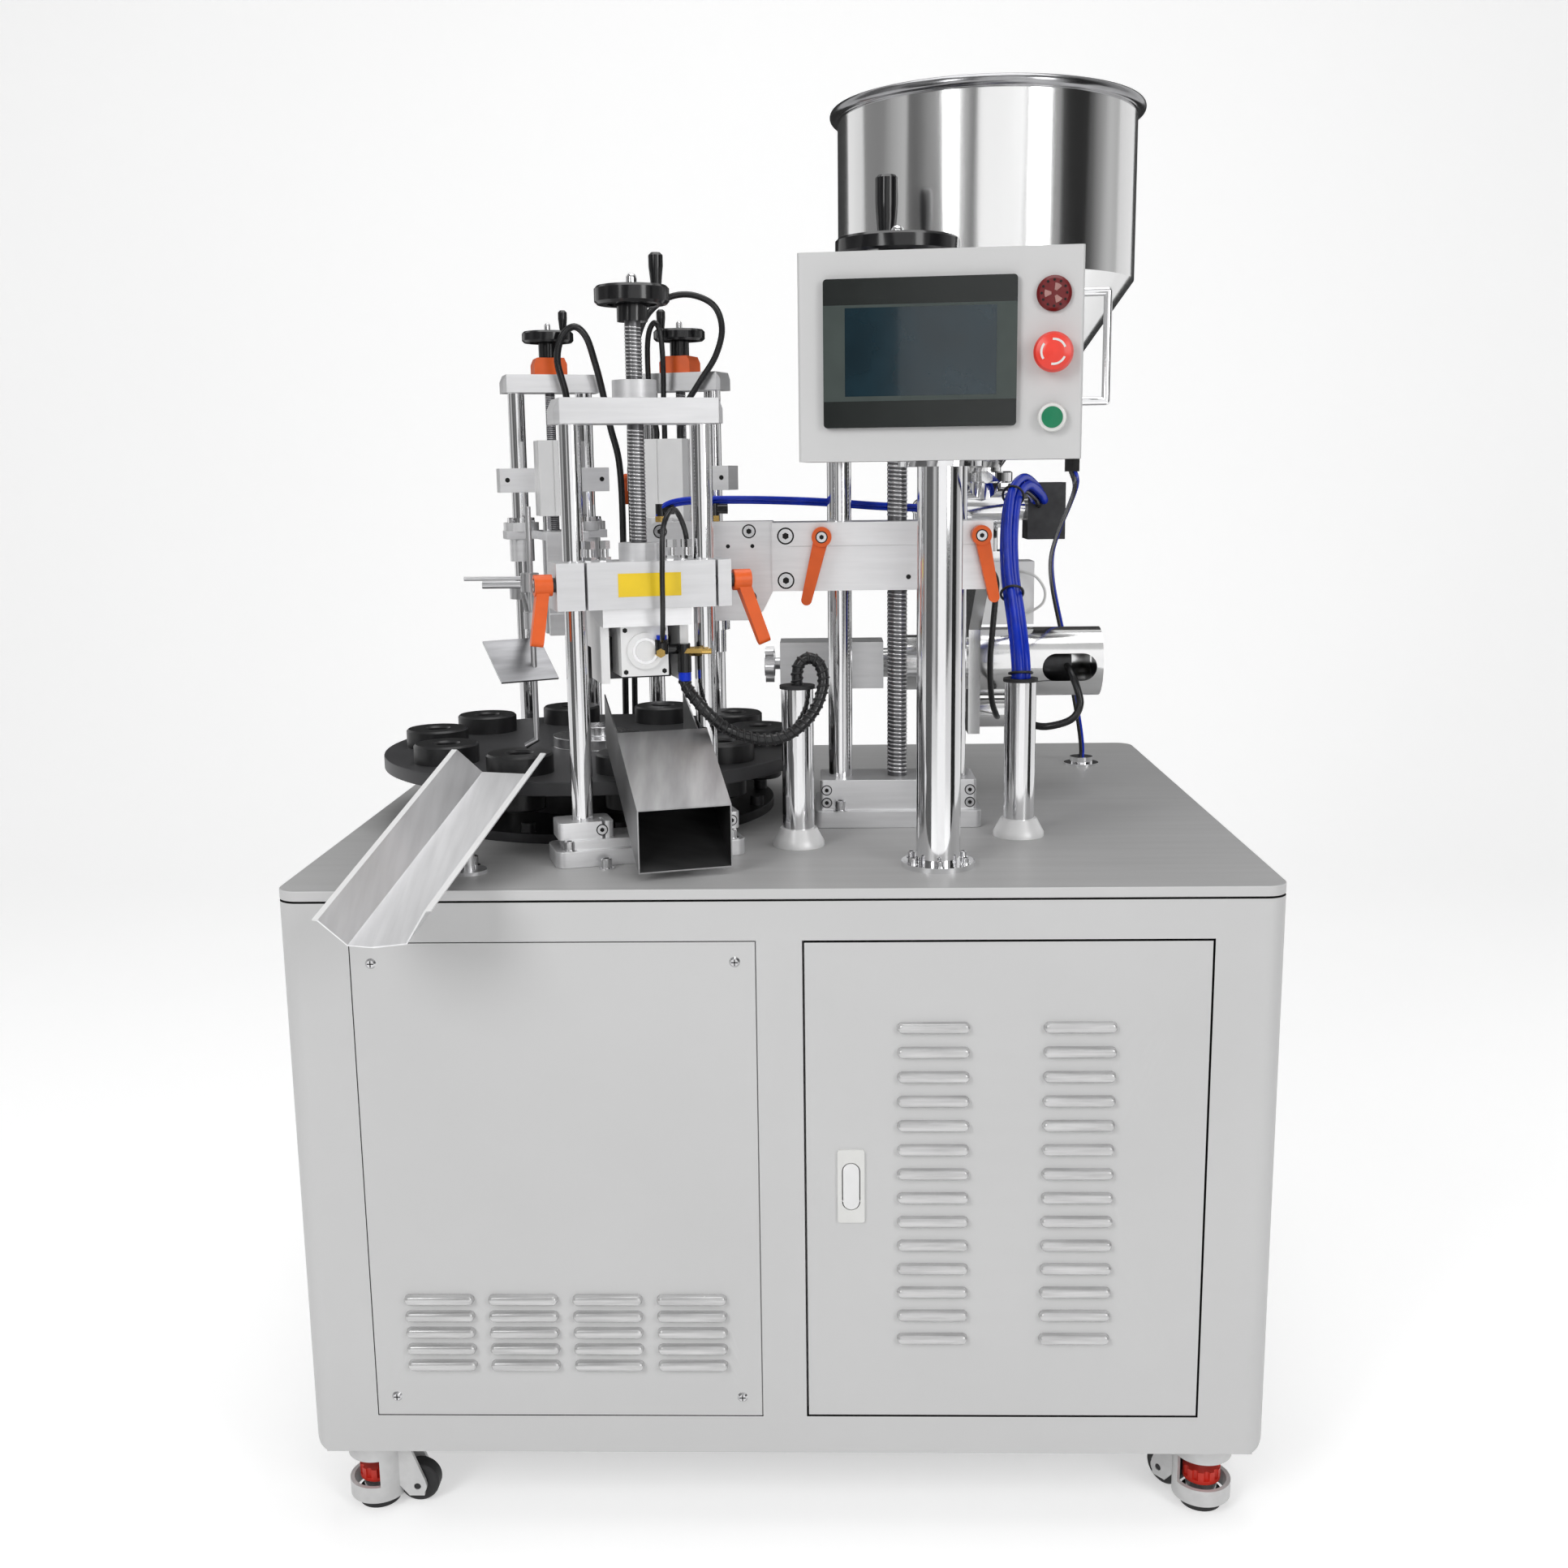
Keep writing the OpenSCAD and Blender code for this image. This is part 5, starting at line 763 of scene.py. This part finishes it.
# Cutting station
for x in (-1, 1):
    flush_screw("frame", CUTTER, (x * 75 + (18 if x < 0 else 22), -336.2, 40), OUT, 11)
    cap_screw("frame", CUTTER, (x * 96, -340, 19), UPW, 12, 10)
cap_screw("frame", CUTTER, (-58, -362, 0), UPW, 13, 11)
cap_screw("frame", ON_TABLE, (-355, 113, 0), UPW, 13, 11)
block("cutter_head", YELLOW, CUTTER, (-31, -344.8, 306), (41, -343.9, 332))
for x in (-58, 36):
    for dx in (0, 17):
        cyl("cutter_head", CHROME, CUTTER, (x + dx, -322, 345), UPW, 15, 5, 6)
        cyl("cutter_head", CHROME, CUTTER, (x + dx, -322, 350), UPW, 9, 16, 20)
        cyl("cutter_head", CHROME, CUTTER, (x + dx, -322, 359), UPW, 13, 9, 6)
for x in (-20, 25):
    for z in (218, 266):
        cyl("cutter_head", SHADOW, CUTTER, (x, -317.7, z), OUT, 6, 0.6, 6)

# Filling gantry
for x in (-1, 1):
    for z in (31, 47):
        flush_screw("frame", ON_TABLE, (FILL_SCREW[0] + x * 90, 312, z), OUT, 11)
cap_screw("frame", ON_TABLE, (70, 306, 22), UPW, 13, 12)
for z in (365, 311):
    flush_screw("filler_head", ON_TABLE, (5, 305, z), OUT, 17)
for x, z in ((-149, 372), (-40, 371), (-40, 290)):
    flush_screw("filler_head", ON_TABLE, (x, 312.4, z), OUT, 14)
for x, z in ((-66, 353), (-36, 353)):
    hole("filler_head", ON_TABLE, (x, 312.4, z), OUT, 5)
hole("filler_head", ON_TABLE, (155, 305, 314), OUT, 6)
for x in (49, 242):
    side = "left" if x < 100 else "right"
    flush_screw("filler_clamp_" + side, ON_TABLE, (x, 281, 364), OUT, 12)

# Operator column
for k in range(6):
    a = math.radians(60 * k + 30)
    place = (BOX_PLACE[0] + 34 * math.cos(a), BOX_PLACE[1] + 34 * math.sin(a), 6)
    cap_screw("frame", ON_TABLE, place, UPW, 8, 6)

# Rear stations
for place, body in ((LEFT, "rear_left_head"), (RIGHT, "rear_right_head")):
    for x in (-70, 70):
        hole(body, place, (x, -292.9, 436), (0, 1, 0), 7)
cyl("rear_right_head", ORANGE, RIGHT, (81, -313, 436), (1, 0, 0), 15, 13)
block("rear_right_head", ORANGE, RIGHT, (87, -319, 398), (94, -307, 438))

# Panel screws
for x in (-447.5, -48.5):
    for z in (686, 167):
        cyl("frame", STEEL, FRONT, (x, 0, z), OUT, 12, 2.2, 24, 8)
        block("frame", SHADOW, FRONT, (x - 3.6, -2.4, z - 0.6), (x + 3.6, -1.6, z + 0.6))
        block("frame", SHADOW, FRONT, (x - 0.6, -2.4, z - 3.6), (x + 0.6, -1.6, z + 3.6))

# Operator box: borders of the screen and rings of the buttons
block("hmi", BEZEL_MID, BOX, (-121, -52.3, 62), (81, -51.9, 160))
block("hmi", DISPLAY, BOX, (-98, -52.6, 67), (60, -52.0, 157))
cyl("hmi", YELLOW, BOX, (118, -45, 107.5), OUT, 34, 1.2, 40)

# Fittings on the cutting unit
cyl("cutter_head", BLUE, CUTTER, (48, -322, 206), UPW, 15, 10, 20)
cyl("cutter_head", GLOSS_BLACK, CUTTER, (48, -322, 216), UPW, 16, 22, 20)
cyl("cutter_head", BRASS, CUTTER, (48, -324, 240), (0.9, -0.3, 0), 11, 20, 6)
cyl("cutter_head", BRASS, CUTTER, (66, -330, 240), (0.9, -0.3, 0), 7, 12, 16)
cyl("cutter_head", GLOSS_BLACK, ON_TABLE, (-135, 157, 238), UPW, 15, 17, 20)
cyl("cutter_head", BLUE, ON_TABLE, (-134.6, 155, 255), UPW, 12, 5, 20)
cyl("cutter_head", BRASS, ON_TABLE, (-135, 152, 240), OUT, 11, 6, 6)

# Ends of the cutting head's levers and the ring of its compact cylinder
for side, x in (("left", -1), ("right", 1)):
    flush_screw("cutter_clamp_" + side, CUTTER, (x * 124, -335, 321), (x, 0, 0), 13)
band("cutter_head", CHROME, CUTTER, (2.5, -322, 242), OUT, 30, 24, 0.8)

# Emergency stop: pale arcs on its crown; sounder: slots round its face
for k in range(3):
    arc_strip("estop", CREAM, BOX, (118, -67.3, 107.5), 12.4, 2.2, 120 * k + 20, 120 * k + 95, 1.4)
    arc_strip("hmi", ROSE, BOX, (118, -52.8, 166.8), 6.5, 7.0, 120 * k + 40, 120 * k + 85, 0.5)
for k in range(12):
    a = math.radians(30 * k)
    cyl("hmi", SHADOW, BOX, (118 + 13 * math.cos(a), -52.8, 166.8 + 13 * math.sin(a)), OUT, 2.6, 0.6, 12)

# Left rear press: stepped bushes on its plate
for x in (-50, 50):
    band("rear_left_press", CHROME, LEFT, (x, -313, 373.9), UPW, 40, 24.6, 7)
    for k in range(4):
        a = math.radians(90 * k + 45)
        place = (x + 22.5 * math.cos(a), 22.5 * math.sin(a) - STATION_R, 373.9)
        cap_screw("rear_left_press", LEFT, place, UPW, 5, 3, False)

# Hopper's clamp ring, valve rings and the fittings on the arm
turned("filler_head", CHROME, ON_TABLE, (*HOPPER_AXIS, 424), UPW,
       [(38.7, 0), (41.5, 2), (41.5, 14), (38.7, 16)], 48)
cyl("filler_head", CHROME, ON_TABLE, (275, 592, 432), OUT, 9, 26, 20)
cyl("filler_head", CHROME, ON_TABLE, (275, 574, 432), OUT, 17, 9, 6)
for x in (232, 312):
    band("filler_head", CHROME, ON_TABLE, (x, 630, 390), (1, 0, 0), 66, 55, 8)
for x in (-150, -84):
    cyl("filler_head", BRASS, ON_TABLE, (x, 336, 383), UPW, 15, 7, 6)
    cyl("filler_head", GLOSS_BLACK, ON_TABLE, (x, 336, 390), UPW, 13, 15, 20)
    cyl("filler_head", GLOSS_BLACK, ON_TABLE, (x, 336, 398), (1, 0, 0), 12, 17, 20)

# Gland under the operator box
cyl("hmi", BLACK, ON_TABLE, (320, 92, 438), UPW, 17, 13.5, 6)

for (body, mat_name), (bm, mat) in GATHER.items():
    mesh = bpy.data.meshes.new("%s_%s" % (body, mat_name.replace(" ", "_")))
    bmesh.ops.recalc_face_normals(bm, faces=bm.faces)
    bm.to_mesh(mesh)
    bm.free()
    mesh.materials.append(mat)
    mesh.shade_smooth()
    o = link(bpy.data.objects.new(mesh.name, mesh))
    split = o.modifiers.new("split", "EDGE_SPLIT")
    split.split_angle = math.radians(34)
    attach(o, body)


# Louvres as rounded hoods, repeated over panel and door

def hood_mesh(w, h, out):
    """Pressed hood with round ends, in metres, middle of its upper edge at the origin."""
    steps = 40
    insets = [(0.0, 0.0), (0.0002, 0.42), (0.0006, 0.66), (0.0012, 0.80), (0.0022, 0.92), (0.0036, 0.98),
              (0.0055, 1.0)]
    bm = bmesh.new()
    rings = []
    for inset, rise in insets:
        ring = []
        for k in range(steps):
            a = math.pi / 2 + 2 * math.pi * (k + 0.5) / steps
            r = h / 2 - inset
            middle = math.copysign(w / 2 - h / 2, math.cos(a))
            ring.append(bm.verts.new((middle + r * math.cos(a), -out * rise, r * math.sin(a) - h / 2)))
        rings.append(ring)
    for inner, outer in zip(rings[1:], rings):
        for k in range(steps):
            j = (k + 1) % steps
            bm.faces.new((outer[k], outer[j], inner[j], inner[k]))
    bm.faces.new(rings[-1])
    bmesh.ops.recalc_face_normals(bm, faces=bm.faces)
    mesh = bpy.data.meshes.new("hood")
    bm.to_mesh(mesh)
    bm.free()
    return mesh


def repeats(name, piece, places, mat, body):
    """Copies of a mesh at points in metres."""
    mesh = bpy.data.meshes.new(name)
    mesh.from_pydata([tuple(p) for p in places], [], [])
    template = link(bpy.data.objects.new(name + "_piece", piece))
    o = run_tree(link(bpy.data.objects.new(name, mesh)), REPEAT, Piece=template, Material=mat)
    bpy.data.objects.remove(template)
    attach(o, body)
    return o


def louvre_spots(middle, top, cols, rows, pitch_x, pitch_z):
    """Upper edges of the louvres in a field, each hood a little above its sheet's own."""
    over = 0.6
    return [Vector((middle + (c - (cols - 1) / 2) * pitch_x, FRONT_Y, top - r * pitch_z + over)) / 1000
            for c in range(cols) for r in range(rows)]


hood = hood_mesh(0.080, 0.0125, 0.0078)
panel_top = OPENING_MID - OPENING_H / 2 + 50 + 5 * 20.3
door_top = OPENING_MID + 13 * 28.4 / 2 + 5.5
panel_spots = louvre_spots(-OPENING_X, panel_top, 4, 5, 96, 20.3)
door_spots = louvre_spots(OPENING_X, door_top, 2, 14, 160, 28.4)
repeats("panel_louvres", hood, panel_spots, LOUVRE, "frame")
repeats("door_louvres", hood, door_spots, LOUVRE, "door")


# Stage, lights and camera

def stage_material():
    """Pale floor that keeps the shadow and lies a little brighter where it is seen directly or in metal."""
    m = material("pale floor", (0.84, 0.84, 0.84), 0.8, 0.0, 0.01, 0.6, spec=0.1)
    nt = m.node_tree
    path = nt.nodes.new("ShaderNodeLightPath")
    seen = nt.nodes.new("ShaderNodeMath")
    seen.operation = "MAXIMUM"
    through = nt.nodes.new("ShaderNodeMath")
    through.operation = "MAXIMUM"
    glow = nt.nodes.new("ShaderNodeMath")
    glow.operation = "MULTIPLY"
    glow.inputs[1].default_value = 0.42
    bsdf = nt.nodes["Principled BSDF"]
    nt.links.new(path.outputs["Is Camera Ray"], seen.inputs[0])
    nt.links.new(path.outputs["Is Glossy Ray"], seen.inputs[1])
    nt.links.new(seen.outputs["Value"], through.inputs[0])
    nt.links.new(path.outputs["Is Transmission Ray"], through.inputs[1])
    nt.links.new(through.outputs["Value"], glow.inputs[0])
    nt.links.new(glow.outputs["Value"], bsdf.inputs["Emission Strength"])
    bsdf.inputs["Emission Color"].default_value = (1, 1, 1, 1)
    return m


bm = bmesh.new()
floor_back, curve_r = 2.6, 1.2
quarter = [math.pi / 2 * k / 10 for k in range(1, 11)]
profile = [(-7.0, 0.0), (floor_back, 0.0)]
profile += [(floor_back + curve_r * math.sin(a), curve_r - curve_r * math.cos(a)) for a in quarter]
profile += [(floor_back + curve_r, 7.0)]
rows = [[bm.verts.new((x, y, z)) for x in (-9.0, 9.0)] for y, z in profile]
for a, b in zip(rows, rows[1:]):
    bm.faces.new((a[0], a[1], b[1], b[0]))
mesh = bpy.data.meshes.new("floor")
bm.to_mesh(mesh)
bm.free()
mesh.shade_smooth()
mesh.materials.append(stage_material())
floor = link(bpy.data.objects.new("floor", mesh))


def card(name, start, end, level, glow=0.0):
    """Upright card round the machine, from one compass angle to another, seen in polished metal only."""
    m = material(name, (level, level, level), 0.9, 0.0, 0.05, 1.0, spec=0.0, emit=glow)
    mesh = bpy.data.meshes.new(name)
    steps = 10
    turns = [math.radians(start + (end - start) * k / steps) for k in range(steps + 1)]
    points = [(2.4 * math.sin(a), -2.4 * math.cos(a), z) for a in turns for z in (0.01, 3.4)]
    mesh.from_pydata(points, [], [(2 * k, 2 * k + 2, 2 * k + 3, 2 * k + 1) for k in range(steps)])
    mesh.materials.append(m)
    o = link(bpy.data.objects.new(name, mesh))
    o.visible_camera = False
    o.visible_diffuse = False
    o.visible_shadow = False


card("left card", -66, -32, 0.16)
card("right card", 58, 80, 0.03)
card("back card left", -222, -142, 0.06)
card("white card", -6, 30, 0.8, 0.6)

scene = bpy.context.scene
world = bpy.data.worlds.new("studio")
scene.world = world
world.use_nodes = True
nt = world.node_tree
back = nt.nodes["Background"]
coord = nt.nodes.new("ShaderNodeTexCoord")
grad = nt.nodes.new("ShaderNodeTexGradient")
grad.gradient_type = "RADIAL"
nt.links.new(coord.outputs["Generated"], grad.inputs["Vector"])
bands = nt.nodes.new("ShaderNodeValToRGB")
stops = [(0.0, 0.5), (0.06, 1.2), (0.12, 0.12), (0.17, 1.3), (0.22, 0.08), (0.27, 1.5), (0.31, 1.2),
         (0.36, 0.06), (0.41, 1.0), (0.47, 0.15), (0.53, 1.2), (0.62, 0.6), (0.75, 1.0), (0.88, 0.6),
         (1.0, 0.5)]
ramp = bands.color_ramp
ramp.elements[0].position, ramp.elements[1].position = stops[0][0], stops[-1][0]
ramp.elements[0].color = [stops[0][1]] * 3 + [1]
ramp.elements[1].color = [stops[-1][1]] * 3 + [1]
for pos, v in stops[1:-1]:
    ramp.elements.new(pos).color = [v, v, v, 1]
nt.links.new(grad.outputs["Fac"], bands.inputs["Fac"])
nt.links.new(bands.outputs["Color"], back.inputs["Color"])
back.inputs["Strength"].default_value = 0.45


def area(name, place, aim, size, power):
    data = bpy.data.lights.new(name, "AREA")
    data.shape = "RECTANGLE"
    data.size, data.size_y = size
    data.energy = power
    o = link(bpy.data.objects.new(name, data))
    o.location = place
    o.rotation_euler = (Vector(aim) - Vector(place)).to_track_quat("-Z", "Y").to_euler()
    return o


area("key", (-2.4, -3.4, 2.9), (0, 0, 0.8), (1.6, 2.2), 66)
area("fill", (2.6, -3.2, 2.2), (0, 0, 0.8), (1.0, 2.4), 40)
area("top", (0.2, 0.2, 4.2), (0, 0.1, 0), (3.0, 2.4), 50)

yaw, pitch, roll = math.radians(1.571), math.radians(10.735), math.radians(0.718)
forward = Vector((-math.sin(yaw) * math.cos(pitch), math.cos(yaw) * math.cos(pitch), -math.sin(pitch)))
right0 = Vector((math.cos(yaw), math.sin(yaw), 0))
down0 = forward.cross(right0)
right = math.cos(roll) * right0 + math.sin(roll) * down0
down = -math.sin(roll) * right0 + math.cos(roll) * down0
cam_data = bpy.data.cameras.new("camera")
cam_data.sensor_width = 36.0
focal_px, image_px = 2000.3, 1932
cam_data.lens = cam_data.sensor_width * focal_px / image_px
cam = link(bpy.data.objects.new("camera", cam_data))
axes = Matrix((right, -down, -forward)).transposed().to_4x4()
cam.matrix_world = Matrix.Translation(tab(54.3, -1697.5, 436.8)) @ axes
scene.camera = cam
scene.view_settings.view_transform = "Standard"
